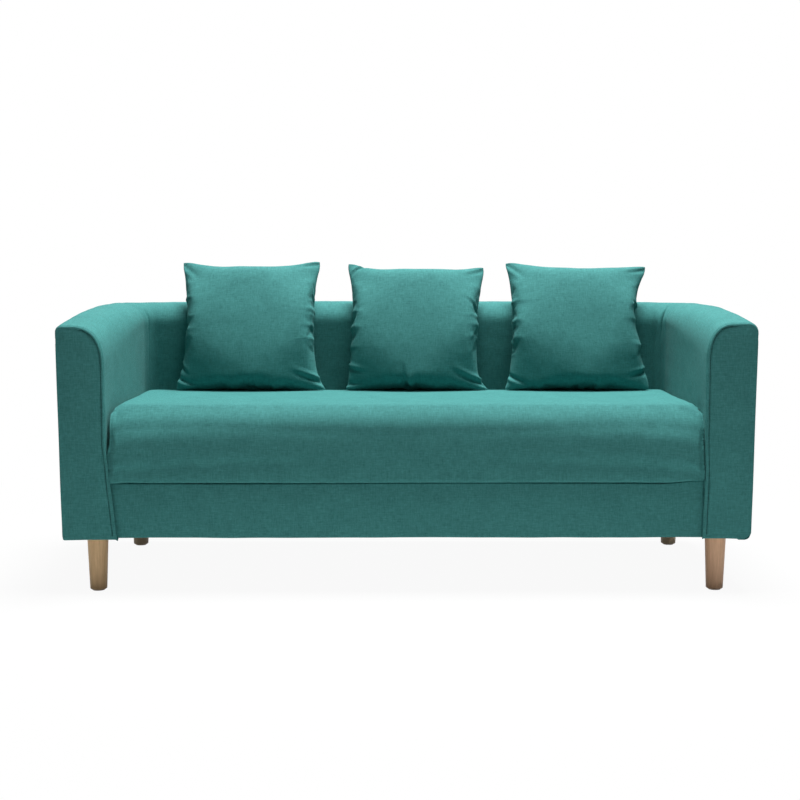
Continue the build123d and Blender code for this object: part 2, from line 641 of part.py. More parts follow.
def fullness(place):
    """Share of the belly's depth at a place from -1 to 1 between the lower and the upper seam."""
    return (1 - abs(place) ** 3) ** 0.4


def pillow_half(inset, belly):
    """Front or rear half of a pillow standing on its lower seam in the XZ plane, belly towards -Y.

    It is lofted across its width through full bows, thick in the middle and thin at the sides.
    """
    sections = []
    edge = PILLOW_SEAM / 2 - inset / 2
    for step in range(-SECTION_STEPS, SECTION_STEPS + 1):
        share = step / SECTION_STEPS
        fade = 1 - share ** 2
        low = inset + PILLOW_FOOT_DIP * fade
        high = PILLOW_HEIGHT - inset - PILLOW_TOP_DIP * fade
        depth = (belly - inset) * math.sqrt(fade) + 0.01
        middle, reach = (low + high) / 2, (high - low) / 2
        bow = Spline(*[(middle + place * reach, edge + depth * fullness(place)) for place in BOW_PLACES])
        sides = Polyline((high, edge), (high, 0), (low, 0), (low, edge))
        plane = Plane(
            origin=(share * (PILLOW_WIDTH / 2 - inset), 0, 0), x_dir=(0, 0, 1), z_dir=(1, 0, 0)
        )
        sections.append(plane * make_face(bow + sides))
    return loft(sections)


def back_surface(z):
    """Depth of the inside of the back at height z: upright, then rolling over at the top."""
    above = max(0.0, z - (BACK_TOP - INNER_TOP_RADIUS))
    return INNER_Y + INNER_TOP_RADIUS - math.sqrt(max(0.0, INNER_TOP_RADIUS ** 2 - above ** 2))


LEAN = math.radians(PILLOW_TILT)
PILLOW_FOOT_Z = CUSHION_TOP + PILLOW_SEAT_GAP + PILLOW_SEAM / 2 * math.sin(LEAN)
LEAN_SAMPLES = 80


def leaning_foot_y():
    """Place of the lower seam at which the rear belly just rests against the back."""
    room = INNER_Y
    low, high = PILLOW_FOOT_DIP, PILLOW_HEIGHT - PILLOW_TOP_DIP
    for sample in range(LEAN_SAMPLES + 1):
        share = sample / LEAN_SAMPLES
        height = low + (high - low) * share
        depth = PILLOW_SEAM / 2 + PILLOW_REAR_BELLY * fullness(2 * share - 1)
        y = height * math.sin(LEAN) + depth * math.cos(LEAN)
        z = PILLOW_FOOT_Z + height * math.cos(LEAN) - depth * math.sin(LEAN)
        if z < BACK_TOP:
            room = min(room, back_surface(z) - y)
    return room - PILLOW_BACK_GAP


PILLOW_FOOT_Y = leaning_foot_y()


def placed(shape, centre_x):
    """Lean a pillow back and stand it on the seat cushion."""
    return Pos(centre_x, PILLOW_FOOT_Y, PILLOW_FOOT_Z) * Rot(-PILLOW_TILT, 0, 0) * shape


def split_cover():
    """Front and rear panels of the cover, and the filling, before they are placed."""
    panels = []
    cores = []
    for belly, turn in ((PILLOW_FRONT_BELLY, False), (PILLOW_REAR_BELLY, True)):
        outer = pillow_half(0.0, belly)
        inner = pillow_half(PILLOW_COVER, belly)
        filling = pillow_half(PILLOW_COVER + SOFT_GAP, belly)
        if turn:
            outer = mirror(outer, about=Plane.XZ)
            inner = mirror(inner, about=Plane.XZ)
            filling = mirror(filling, about=Plane.XZ)
        panels.append((outer - inner).solid())
        cores.append(filling)
    return panels, cores[0] + cores[1]


panels, filling = split_cover()
for name, centre_x in PILLOW_CENTRES.items():
    cover_panels = [placed(panel, centre_x).solid() for panel in panels]
    save(name + "_pillow_cover", Compound(children=cover_panels))
    save(name + "_pillow_filling", placed(filling, centre_x))
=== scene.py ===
import bpy
import math
import numpy as np
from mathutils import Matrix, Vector, geometry, kdtree, noise


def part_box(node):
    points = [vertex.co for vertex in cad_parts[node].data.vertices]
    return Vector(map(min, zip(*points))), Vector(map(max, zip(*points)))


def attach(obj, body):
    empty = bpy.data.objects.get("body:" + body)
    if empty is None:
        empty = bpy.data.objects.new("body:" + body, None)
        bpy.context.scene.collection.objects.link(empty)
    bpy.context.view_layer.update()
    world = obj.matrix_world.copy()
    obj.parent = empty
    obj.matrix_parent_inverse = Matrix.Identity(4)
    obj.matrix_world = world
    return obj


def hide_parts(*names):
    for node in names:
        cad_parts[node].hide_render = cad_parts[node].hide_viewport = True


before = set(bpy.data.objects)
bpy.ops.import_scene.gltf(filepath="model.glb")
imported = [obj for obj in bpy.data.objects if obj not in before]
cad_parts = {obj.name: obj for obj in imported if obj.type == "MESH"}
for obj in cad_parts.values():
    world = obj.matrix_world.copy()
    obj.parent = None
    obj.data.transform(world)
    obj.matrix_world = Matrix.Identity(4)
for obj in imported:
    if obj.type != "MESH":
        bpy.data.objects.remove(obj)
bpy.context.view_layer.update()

# ---- Sizes of the sofa, in metres, read from the frame -------------------------------------------
back_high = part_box("inside_back_cover")[1]
facing_low, facing_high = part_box("right_arm_front_cover")
outside_low, outside_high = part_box("outside_back_cover")
deck_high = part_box("seat_deck_pad")[1]
cushion_low, cushion_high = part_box("seat_cushion_cover")
border_low, border_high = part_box("front_border_cover")

DECK_CLEARANCE = 0.0003
HALF_WIDTH = 0.9
BACK_Y = outside_high.y
FRONT_Y = facing_low.y
HEM_Z = facing_low.z
BACK_TOP = back_high.z
ARM_FRONT_TOP = facing_high.z - 0.0001
INNER_X = deck_high.x + DECK_CLEARANCE
INNER_Y = deck_high.y + DECK_CLEARANCE
TUCK_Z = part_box("back_foam")[0].z
SEAT_TOP = cushion_high.z
SIDE_TAPER = 0.009           # each side leans in by this much from top to hem
# Roll over the top of arms and back: how far it stands over the top line, the radius of its outer
# edge, how far it comes in over the seat, the width and height of its inner curve, and how boxy it is.
WALL = {"top": 0.0, "outer": 0.028, "inner": 0.0, "across": 0.064, "down": 0.056, "square": 0.0}
ARMS = {                     # each arm's front differs a little from the plain wall
    "right": {"top": 0.0045, "outer": 0.025, "inner": 0.0035, "across": 0.070, "down": 0.100, "square": 0.2},
    "left": {"top": -0.0025, "outer": 0.016, "inner": -0.0040, "across": 0.081, "down": 0.110, "square": 0.2},
}
OUTER_CORNER = 0.070         # radii of the rear corners, seen from above
INNER_CORNER = 0.038
SEAM_DROP = 0.038            # outside panels' seam below the top line
SIDE_SEAM_Y = outside_low.y  # upright seam between outside arm and outside back
FABRIC = 0.0015
HEM_TURN = 0.014             # cloth folded under at the hem
HEM_FREE = 0.08              # height over which an outside panel is drawn down to its lower hem

TOP_RISE = BACK_TOP - ARM_FRONT_TOP
TOP_DEPTH = BACK_Y - FRONT_Y
TOP_ARC = (TOP_RISE ** 2 + TOP_DEPTH ** 2) / (2 * TOP_RISE)
TURN_X = INNER_X - INNER_CORNER
TURN_Y = INNER_Y - INNER_CORNER
ARM_RUN = TURN_Y - FRONT_Y
CORNER_RUN = 0.19            # length along the wall that stands for a corner
CORNER_SINK = 0.0045         # the top line is this much lower at the rear corners
CORNER_SPREAD = 0.15
BACK_RUN = TURN_X
HALF_RUN = ARM_RUN + CORNER_RUN + BACK_RUN


# ---- Small helpers -------------------------------------------------------------------------------
TINY = 1e-12                 # keeps divisions from dividing by nothing


def graded(start, end, coarse, fine, band):
    """Positions from start to end, close together within band of both ends."""
    length = end - start
    band = min(band, length / 3)
    edge_steps = max(2, round(band / fine))
    middle_steps = max(1, round((length - 2 * band) / coarse))
    first = np.linspace(start, start + band, edge_steps + 1)
    middle = np.linspace(start + band, end - band, middle_steps + 1)[1:]
    last = np.linspace(end - band, end, edge_steps + 1)[1:]
    return np.concatenate([first, middle, last])


def ripple(point, scale, seed):
    """Smooth random value from -1 to 1, the same on every run."""
    return noise.noise(Vector(point) / scale + Vector((seed * 7.31, seed * 3.17, seed * 5.73)))


def uneven(point, waves):
    """Sum of smooth ripples at a point. Each wave gives its height, its scale and its seed."""
    return sum(height * ripple(point, scale, seed) for height, scale, seed in waves)


def smooth_step(value, low, high):
    """0 up to low, 1 from high on, and a soft rise between them."""
    share = min(1.0, max(0.0, (value - low) / (high - low)))
    return share * share * (3 - 2 * share)


def bell(distance):
    """1 at no distance, soon falling to 0 beyond a distance of 1."""
    return math.exp(-distance ** 2)


def clipped(values):
    """The values, held between 0 and 1."""
    return np.clip(values, 0.0, 1.0)


def reach_along(points):
    """Distance of each point from the first, along the line through them."""
    steps = np.linalg.norm(np.diff(points, axis=0), axis=1)
    return np.concatenate([[0.0], np.cumsum(steps)])


def new_mesh_object(name, vertices, faces, uvs=None):
    """Smooth mesh object. uvs holds one pair for each vertex, in metres of cloth."""
    mesh = bpy.data.meshes.new(name)
    mesh.from_pydata([tuple(v) for v in vertices], [], [tuple(int(i) for i in f) for f in faces])
    if uvs is not None:
        layer = mesh.uv_layers.new(name="cloth")
        loops = np.zeros(len(mesh.loops), dtype=np.int32)
        mesh.loops.foreach_get("vertex_index", loops)
        flat = np.asarray(uvs, dtype=np.float32)[loops].ravel()
        layer.data.foreach_set("uv", flat)
    mesh.polygons.foreach_set("use_smooth", [True] * len(mesh.polygons))
    mesh.update()
    piece = bpy.data.objects.new(name, mesh)
    bpy.context.scene.collection.objects.link(piece)
    return piece


def grid_faces(rows, columns, flip=False):
    """Quads between the points of a grid, row by row."""
    faces = []
    for r in range(rows - 1):
        for c in range(columns - 1):
            a = r * columns + c
            quad = (a, a + 1, a + columns + 1, a + columns)
            faces.append(quad[::-1] if flip else quad)
    return faces


def grid_normals(points):
    """Unit normals of a grid of points, shape (rows, columns, 3)."""
    along = np.gradient(points, axis=0)
    across = np.gradient(points, axis=1)
    normal = np.cross(along, across)
    length = np.linalg.norm(normal, axis=2, keepdims=True)
    return normal / np.maximum(length, TINY)


def coordinates(mesh):
    """Places of the mesh's points, one row for each."""
    found = np.zeros(len(mesh.vertices) * 3)
    mesh.vertices.foreach_get("co", found)
    return found.reshape(-1, 3)


def vertex_normals(mesh):
    found = np.zeros(len(mesh.vertices) * 3, dtype=np.float32)
    mesh.vertex_normals.foreach_get("vector", found)
    return found.reshape(-1, 3)


def set_coordinates(mesh, points):
    mesh.vertices.foreach_set("co", np.asarray(points, dtype=np.float32).ravel())
    mesh.update()


def apply_modifiers(piece):
    """Turn what the modifiers make into the piece's plain mesh."""
    graph = bpy.context.evaluated_depsgraph_get()
    finished = bpy.data.meshes.new_from_object(piece.evaluated_get(graph), depsgraph=graph)
    old = piece.data
    piece.modifiers.clear()
    piece.data = finished
    bpy.data.meshes.remove(old)
    piece.data.polygons.foreach_set("use_smooth", [True] * len(piece.data.polygons))
    piece.data.update()


def thickened(piece, thickness):
    """Give an open cloth panel its thickness, inwards, as plain mesh."""
    solid = piece.modifiers.new("thickness", "SOLIDIFY")
    solid.thickness = thickness
    solid.offset = -1.0
    solid.use_even_offset = False
    apply_modifiers(piece)


def subdivided(piece):
    """Make the piece's mesh finer and smoother by one level, as plain mesh."""
    smooth = piece.modifiers.new("smooth", "SUBSURF")
    smooth.levels = 1
    smooth.render_levels = 1
    apply_modifiers(piece)


# ---- Form of the arms and the back ----------------------------------------------------------------
def top_line(y):
    """Height of the top of arms and back: one long arc, level at the back."""
    return BACK_TOP - TOP_ARC + math.sqrt(TOP_ARC ** 2 - (y - BACK_Y) ** 2)


def outer_hit(angle):
    """Distance from the turning centre to the outer outline, along a ray at angle."""
    ray = Vector((math.cos(angle), math.sin(angle)))
    to_side = (HALF_WIDTH - TURN_X) / max(ray.x, 1e-9)
    to_back = (BACK_Y - TURN_Y) / max(ray.y, 1e-9)
    centre = Vector((HALF_WIDTH - OUTER_CORNER - TURN_X, BACK_Y - OUTER_CORNER - TURN_Y))
    along = centre.dot(ray)
    inside_root = OUTER_CORNER ** 2 - (centre.length_squared - along ** 2)
    straight = min(to_side, to_back)
    hit = ray * straight
    if inside_root > 0 and hit.x > centre.x and hit.y > centre.y:
        return along + math.sqrt(inside_root)
    return straight


def station(run):
    """Outer point, outward direction and thickness of the wall at a run from the back's middle.

    Positive runs go to the right arm, negative ones to the left arm.
    """
    side = 1.0 if run >= 0 else -1.0
    s = HALF_RUN - abs(run)
    if s <= ARM_RUN:
        outer, outward = Vector((HALF_WIDTH, FRONT_Y + s)), Vector((1.0, 0.0))
        thickness = HALF_WIDTH - INNER_X
    elif s >= ARM_RUN + CORNER_RUN:
        outer, outward = Vector((HALF_RUN - s, BACK_Y)), Vector((0.0, 1.0))
        thickness = BACK_Y - INNER_Y
    else:
        angle = (s - ARM_RUN) / CORNER_RUN * math.pi / 2
        reach = outer_hit(angle)
        outward = Vector((math.cos(angle), math.sin(angle)))
        outer = Vector((TURN_X, TURN_Y)) + outward * reach
        thickness = reach - INNER_CORNER
    return Vector((outer.x * side, outer.y)), Vector((outward.x * side, outward.y)), thickness


def wall_shape(run):
    """Roll of the top at a run: the arm's own at its front, plain further back."""
    arm = ARMS["right" if run >= 0 else "left"]
    from_front = HALF_RUN - abs(run)
    share = 1 - smooth_step(from_front, 0.02, ARM_RUN)
    shape = {key: WALL[key] + (arm[key] - WALL[key]) * share for key in WALL}
    from_corner = from_front - ARM_RUN - CORNER_RUN / 2
    shape["top"] -= CORNER_SINK * bell(from_corner / CORNER_SPREAD)
    return shape


def wall_section(thickness, side_height, foot_radius, shape, depth):
    """Line over the wall from its folded hem to its inner foot, and the girth at each of its points.

    The points hold the distance in from the outer face and the drop below the top line. The girth
    counts from the hem; the cloth folded under is at negative girths.
    """
    turns = np.radians(np.linspace(0, 90, 19))
    outer, across, down = shape["outer"], shape["across"], shape["down"]
    bend = 1 - shape["square"]
    points = [(foot_radius + HEM_TURN, side_height)]
    for t in turns:
        points.append((foot_radius * (1 - math.sin(t)), side_height - foot_radius * (1 - math.cos(t))))
    for t in turns:
        points.append((outer * (1 - math.cos(t)), outer * (1 - math.sin(t))))
    for t in turns:
        rolled = max(0.0, math.cos(t)) ** bend
        points.append((thickness - across * (1 - math.sin(t) ** bend), down * (1 - rolled)))
    points.append((thickness, depth))
    points = np.array(points)
    return points, reach_along(points) - HEM_TURN


def cover_panel(name, run_start, run_end, settings):
    """Cloth panel on the inside or the outside of the arms and the back."""
    outside = settings["part"] == "outside"
    foot_radius = settings["foot_radius"]
    runs = graded(run_start, run_end, settings["coarse"], settings["fine"], settings["band"])
    shares = graded(0.0, 1.0, settings["share_coarse"], settings["share_fine"], settings["share_band"])
    points = np.zeros((len(runs), len(shares), 3))
    cloth = np.zeros((len(runs), len(shares), 2))
    lengths = np.zeros(len(runs))
    for i, run in enumerate(runs):
        outer, outward, thickness = station(run)
        shape = wall_shape(run)
        thickness += shape["inner"]
        side_height = top_line(outer.y) + shape["top"] - HEM_Z
        depth = top_line((outer - outward * thickness).y) + shape["top"] - TUCK_Z
        section, reach = wall_section(thickness, side_height, foot_radius, shape, depth)
        seam = foot_radius * math.pi / 2 + side_height - foot_radius - SEAM_DROP
        start, end = (-HEM_TURN, seam) if outside else (seam, reach[-1])
        lengths[i] = end - start
        for j, share in enumerate(shares):
            girth = start + share * lengths[i]
            inward = float(np.interp(girth, reach, section[:, 0]))
            drop = float(np.interp(girth, reach, section[:, 1]))
            plan = outer - outward * inward
            z = top_line(plan.y) + shape["top"] - drop
            if outside:
                z = top_line(outer.y) + shape["top"] - drop
                z -= settings["hem_drop"] * smooth_step(HEM_Z + HEM_FREE - z, 0.0, HEM_FREE)
            lean = SIDE_TAPER * (BACK_TOP - z) / (BACK_TOP - HEM_Z) * abs(outward.x)
            fade = 1.0 if outside else max(0.0, 1 - inward / shape["outer"])
            plan = plan - outward * (lean * fade)
            points[i, j] = (plan.x, plan.y, z)
            cloth[i, j] = (run, girth)
    normals = grid_normals(points)
    middle = (len(runs) // 2, len(shares) // 2 if outside else 2)
    outward = station(runs[middle[0]])[1]
    turned = -1.0 if np.dot(normals[middle], (outward.x, outward.y, 0.0)) < 0 else 1.0
    normals *= turned
    for i, run in enumerate(runs):
        for j, share in enumerate(shares):
            from_ends = min(run - run_start, run_end - run)
            from_low = share * lengths[i]
            from_high = lengths[i] - from_low
            push = settings["shape"](points[i, j], run, from_ends, from_low, from_high)
            points[i, j] += normals[i, j] * push
    faces = grid_faces(len(runs), len(shares), flip=turned < 0)
    piece = new_mesh_object(name, points.reshape(-1, 3), faces, cloth.reshape(-1, 2))
    thickened(piece, FABRIC)
    return piece


PROUD = 0.0012               # the padded cover stands this far off its foam
SEAM_WIDTH = 0.0045
SEAM_DEPTH = 0.0024
FOLD_DROP = 0.052            # the folds of the inner corners are deepest this far below the top
FOLD_HEIGHT = 0.032
CORNER_FOLDS = {             # depth and width of each corner's fold, and depth of the gathers over it
    "right": (0.0110, 0.0085, 0.0),
    "left": (0.0030, 0.012, 0.0011),
}
GATHER_SPREAD = 0.028        # on each side of the corner seam
GATHER_RATE = 520            # radians of gather for each metre along the back
FRONT_TUCK = 0.0030          # the inside covers roll in this far behind the arm fronts
FRONT_TUCK_WIDTH = 0.0040
MITRE_SLACK = 0.65           # share of its dip that the seam in a corner fold loses
MITRE_SLACK_WIDTH = 0.03
INSIDE_WAVES = ((0.0018, 0.16, 1), (0.0006, 0.035, 2))
OUTSIDE_WAVES = ((0.0009, 0.22, 3),)
HEM_WAVES = ((0.0012, 0.07, 4),)
HEM_LOOSE = 0.06             # height over which the outside panels' hem waves


def seam_dip(distance):
    """How far the cloth rolls in towards a seam at a distance from it."""
    return SEAM_DEPTH * bell(distance / SEAM_WIDTH)


def inside_shape(point, run, from_ends, from_low, from_high):
    """Soft unevenness of the padded inside covers, folded in at the corner seams."""
    calm = uneven(point, INSIDE_WAVES)
    along = abs(run) - MITRE_RUN
    over = bell((point[2] - BACK_TOP + FOLD_DROP) / FOLD_HEIGHT) * smooth_step(from_low, 0.08, 0.14)
    depth, width, gather = CORNER_FOLDS["right" if run > 0 else "left"]
    fold = depth * over * bell(along / width)
    if gather:
        gathers = math.sin(along * GATHER_RATE + 2.0 * ripple(point, 0.03, 14))
        fold += gather * over * bell(along / GATHER_SPREAD) * gathers
    tuck = FRONT_TUCK * bell((HALF_RUN - abs(run)) / FRONT_TUCK_WIDTH)
    slack = 1 - MITRE_SLACK * bell(along / MITRE_SLACK_WIDTH)
    return PROUD + calm - fold - tuck - slack * seam_dip(from_ends) - seam_dip(from_low)


def outside_shape(point, run, from_ends, from_low, from_high):
    """Stretched outside panels, drawn in at their seams, loose at the hem."""
    wave = uneven(point, HEM_WAVES) * bell(from_low / HEM_LOOSE)
    return PROUD + uneven(point, OUTSIDE_WAVES) + wave - seam_dip(from_ends) - seam_dip(from_high)


# Spacing of a panel's points along its run and up its girth, coarse in the middle and fine in a band
# at its edges, with the radius of its foot and the function that shapes it.
INSIDE = {
    "part": "inside", "coarse": 0.010, "fine": 0.0015, "band": 0.012, "foot_radius": 0.008,
    "share_coarse": 0.014, "share_fine": 0.0025, "share_band": 0.02, "shape": inside_shape,
}
OUTSIDE = {
    "part": "outside", "coarse": 0.014, "fine": 0.0015, "band": 0.012, "foot_radius": 0.008,
    "share_coarse": 0.022, "share_fine": 0.0035, "share_band": 0.05, "shape": outside_shape,
    "hem_drop": 0.0015,
}
OUTSIDE_RIGHT = dict(OUTSIDE, foot_radius=0.016, hem_drop=0.003)

SIDE_SEAM_ANGLE = math.atan2(SIDE_SEAM_Y - TURN_Y, HALF_WIDTH - TURN_X)
SIDE_SEAM_RUN = HALF_RUN - ARM_RUN - CORNER_RUN * SIDE_SEAM_ANGLE / (math.pi / 2)
MITRE_RUN = BACK_RUN + CORNER_RUN / 2


# ---- Arm fronts and front border ------------------------------------------------------------------
FACING_TURN = [              # turned edge: distance in from the outline and depth behind the front
    (0.0035, 0.0150), (0.0014, 0.0060), (0.0, 0.0024),
    (0.0003, 0.0010), (0.0013, 0.0001), (0.0026, -0.0003),
]
# How far the inner edge flares out at the foot, how bent that slant is and the height it starts at,
# the radius of the outer foot, how far the foot hangs below the hem, and the point at its inner end.
FACING = {
    "right": {
        "side": 1.0, "flare": 0.006, "bend": 1.0, "flare_top": 0.33,
        "outer_foot": 0.022, "drop": 0.002, "spur": 0.0,
    },
    "left": {
        "side": -1.0, "flare": 0.028, "bend": 0.8, "flare_top": 0.385,
        "outer_foot": 0.005, "drop": 0.004, "spur": 0.004,
    },
}
FACING_SPACING = 0.0035      # between the points of a facing's outline
FACING_FILL = 0.0085         # between the points inside it
FACING_PUFF = 0.0026         # how far its padded middle stands out
FACING_EDGE_ROLL = 0.0014    # and its edge outside the line of stitches
STITCH_DIP = 0.0024          # depth of the line of stitches
STITCH_DIP_WIDTH = 0.0014
UNSTITCHED = 0.045           # the outer edge, from the sofa's side, has no line of stitches
STITCH_BANDS = (-0.0021, -0.0009, 0.0, 0.0009, 0.0022, 0.0045)   # rows of points beside the stitches


def topstitch(z):
    """Distance of the line of stitches in from the facing's edge. It widens towards the foot."""
    return 0.0062 + 0.0043 * smooth_step(0.42 - z, 0.0, 0.15)


def arc_points(centre, radius, start, end, steps):
    """Points on an arc between two angles in degrees."""
    angles = np.radians(np.linspace(start, end, steps))
    return [(centre[0] + radius * math.cos(a), centre[1] + radius * math.sin(a)) for a in angles]


def even_loop(corners, spacing):
    """Points at an even spacing along a closed line through the given points."""
    closed = np.array(list(corners) + [corners[0]])
    reach = reach_along(closed)
    count = max(8, round(reach[-1] / spacing))
    places = np.linspace(0.0, reach[-1], count, endpoint=False)
    return np.stack([np.interp(places, reach, closed[:, k]) for k in (0, 1)], axis=1)


def facing_outline(settings, shape):
    """Outline of a right arm front in x and z, anticlockwise from its inner foot."""
    foot = settings["outer_foot"]
    low = HEM_Z - settings["drop"]
    top = ARM_FRONT_TOP + shape["top"]
    outer, across, down = shape["outer"], shape["across"], shape["down"]
    inner_x = INNER_X - shape["inner"]
    taper = SIDE_TAPER / (BACK_TOP - HEM_Z)
    bend = 1 - shape["square"]

    def outer_x(z):
        return HALF_WIDTH - taper * (BACK_TOP - z) + PROUD * 0.5

    inner_foot_x = inner_x - settings["flare"]
    points = [(inner_foot_x - settings["spur"] * 0.6, low - settings["spur"] * 0.4)]
    points.append((inner_foot_x + 0.004, low + 0.0015))
    points.append(((inner_foot_x + outer_x(low)) / 2, low + 0.0015))
    points.append((outer_x(low) - foot, low))
    points += arc_points((outer_x(low) - foot, low + foot), foot, -80, -8, 8)
    for z in np.linspace(low + foot + 0.01, top - outer, 24):
        points.append((outer_x(z), z))
    points += arc_points((outer_x(top) - outer, top - outer), outer, 8, 90, 9)
    for t in np.radians(np.linspace(4, 90, 22)):
        rolled = max(0.0, math.cos(t)) ** bend
        points.append((inner_x + across * (1 - math.sin(t) ** bend), top - down * (1 - rolled)))
    for z in np.linspace(top - down - 0.01, low + 0.003, 40):
        slant = max(0.0, (settings["flare_top"] - z) / (settings["flare_top"] - low))
        points.append((inner_x - settings["flare"] * slant ** settings["bend"], z))
    return even_loop(points, FACING_SPACING)


def inset_loop(loop, distance):
    """The closed loop moved inwards, by one distance or by one for each point. It runs anticlockwise."""
    ahead = np.roll(loop, -1, axis=0) - np.roll(loop, 1, axis=0)
    ahead /= np.maximum(np.linalg.norm(ahead, axis=1, keepdims=True), TINY)
    inward = np.stack([-ahead[:, 1], ahead[:, 0]], axis=1)
    return loop + inward * np.reshape(distance, (-1, 1))


def inside_loop(loop, points):
    """Which points lie inside the closed loop."""
    x, y = points[:, 0][:, None], points[:, 1][:, None]
    x0, y0 = loop[:, 0][None], loop[:, 1][None]
    x1, y1 = np.roll(loop, -1, axis=0)[:, 0][None], np.roll(loop, -1, axis=0)[:, 1][None]
    crosses = (y0 > y) != (y1 > y)
    slope = (x1 - x0) / np.where(np.abs(y1 - y0) < TINY, TINY, y1 - y0)
    return ((crosses & (x < x0 + slope * (y - y0))).sum(axis=1) % 2) == 1


def nearest_on(loop, points):
    """Index of the nearest loop point and the distance to the loop, for each point."""
    tree = kdtree.KDTree(len(loop))
    for index, (a, b) in enumerate(loop):
        tree.insert((a, b, 0.0), index)
    tree.balance()
    found = [tree.find((a, b, 0.0)) for a, b in points]
    return np.array([f[1] for f in found]), np.array([f[2] for f in found])


def filled(loop, extra, spacing, clear):
    """Triangles that fill a loop through extra points and an even grid. Returns points and faces."""
    low, high = loop.min(axis=0), loop.max(axis=0)
    xs = np.arange(low[0] + spacing / 2, high[0], spacing)
    ys = np.arange(low[1] + spacing / 2, high[1], spacing)
    grid = np.array([(x + (spacing / 2 if k % 2 else 0.0), y) for k, y in enumerate(ys) for x in xs])
    grid = grid[inside_loop(loop, grid)]
    grid = grid[nearest_on(loop, grid)[1] > clear]
    if len(extra):
        extra = extra[inside_loop(loop, extra)]
        grid = grid[nearest_on(extra, grid)[1] > spacing * 0.45]
    points = np.concatenate([loop, extra, grid])
    ring = list(range(len(loop)))
    flat = [Vector(p) for p in points]
    _, _, faces, sources, _, _ = geometry.delaunay_2d_cdt(flat, [], [ring], 1, 1e-7)
    first = [source[0] if source else -1 for source in sources]
    return points, [tuple(first[i] for i in face) for face in faces]


def arm_front(name, settings, shape):
    """Padded arm front, sewn round its edge and topstitched along its inner edge and top.

    Returns the piece and the path of its stitches.
    """
    side = settings["side"]
    loop = facing_outline(settings, shape)
    count = len(loop)
    line = np.array([topstitch(z) for _, z in loop])
    stitched = np.array([
        smooth_step(HALF_WIDTH - UNSTITCHED - x, 0.0, 0.03) * smooth_step(z, HEM_Z + 0.004, HEM_Z + 0.010)
        for x, z in loop
    ])
    rings = [inset_loop(loop, inset) for inset, _ in FACING_TURN]
    vertices = [(x, FRONT_Y + behind, z) for ring, (_, behind) in zip(rings, FACING_TURN) for x, z in ring]
    faces = []
    for r in range(len(rings) - 1):
        for k in range(count):
            n = (k + 1) % count
            a, b = r * count + k, r * count + n
            faces.append((a, b, b + count, a + count))
    bands = []
    for offset in STITCH_BANDS:
        band = inset_loop(loop, line + offset)
        bands.append(band[nearest_on(loop, band)[1] > line + offset - 0.0004])
    points, triangles = filled(rings[-1], np.concatenate(bands), FACING_FILL, 0.003)
    nearest, distance = nearest_on(loop, points)
    start = (len(rings) - 1) * count
    for index in range(count, len(points)):
        x, z = points[index]
        d = distance[index]
        stitch = line[nearest[index]]
        sewn = stitched[nearest[index]]
        dip = STITCH_DIP * sewn * bell((d - stitch) / STITCH_DIP_WIDTH)
        rolled = FACING_EDGE_ROLL * sewn * max(0.0, math.sin(math.pi * min(1.0, d / stitch)))
        puff = FACING_PUFF * smooth_step(d, stitch - 0.001, 0.034)
        calm = 0.0012 * ripple((x * side, 0.0, z), 0.09, 6) + 0.0004 * ripple((x, 0.0, z), 0.03, 7)
        pucker = 0.0004 * sewn * bell((d - stitch - 0.003) / 0.004) * math.sin(nearest[index] * 0.9)
        fade = smooth_step(d, 0.003, 0.012)
        vertices.append((x, FRONT_Y - 0.0003 + dip - rolled - puff - (calm + pucker) * fade, z))
    for a, b, c in triangles:
        faces.append((start + a, start + b, start + c))
    cloth = [(x, z) for x, _, z in vertices]
    vertices = np.array(vertices)
    vertices[:, 0] *= side
    if side > 0:
        faces = [f[::-1] for f in faces]
    piece = new_mesh_object(name, vertices, faces, np.array(cloth) * (side, 1.0))
    if piece.data.polygons[len(piece.data.polygons) // 2].normal.y > 0:
        piece.data.flip_normals()
    thickened(piece, FABRIC * 0.6)
    stitch_loop = inset_loop(loop, line)
    seen = zip(stitch_loop, stitched)
    path = [(x * side, FRONT_Y + 0.0012, z) for (x, z), sewn in seen if sewn > 0.5]
    return piece, path


def seam_rise(x):
    """Height of the line between seat cushion and border over its usual level, most at the right."""
    return 0.0009 * (1 + math.sin(x * 5.1 + 0.6)) + 0.0090 * smooth_step(x, 0.655, 0.79)


ROLL = 0.0014                # radius of the border's upper edge
GROOVE = 0.0018              # the border's upper edge lies this far below the deck's top
BORDER_FOLDS = (0.0019, 0.010, 0.022)     # points of the fold over the deck, behind the border's face
BORDER_BELLY = 0.0030
BORDER_WAVES = ((0.0012, 0.10, 8), (0.0005, 0.035, 9))
BORDER_HEM_WAVES = ((0.0013, 0.11, 10),)
HEM_ROLL = 0.003             # radius of the border's lower edge


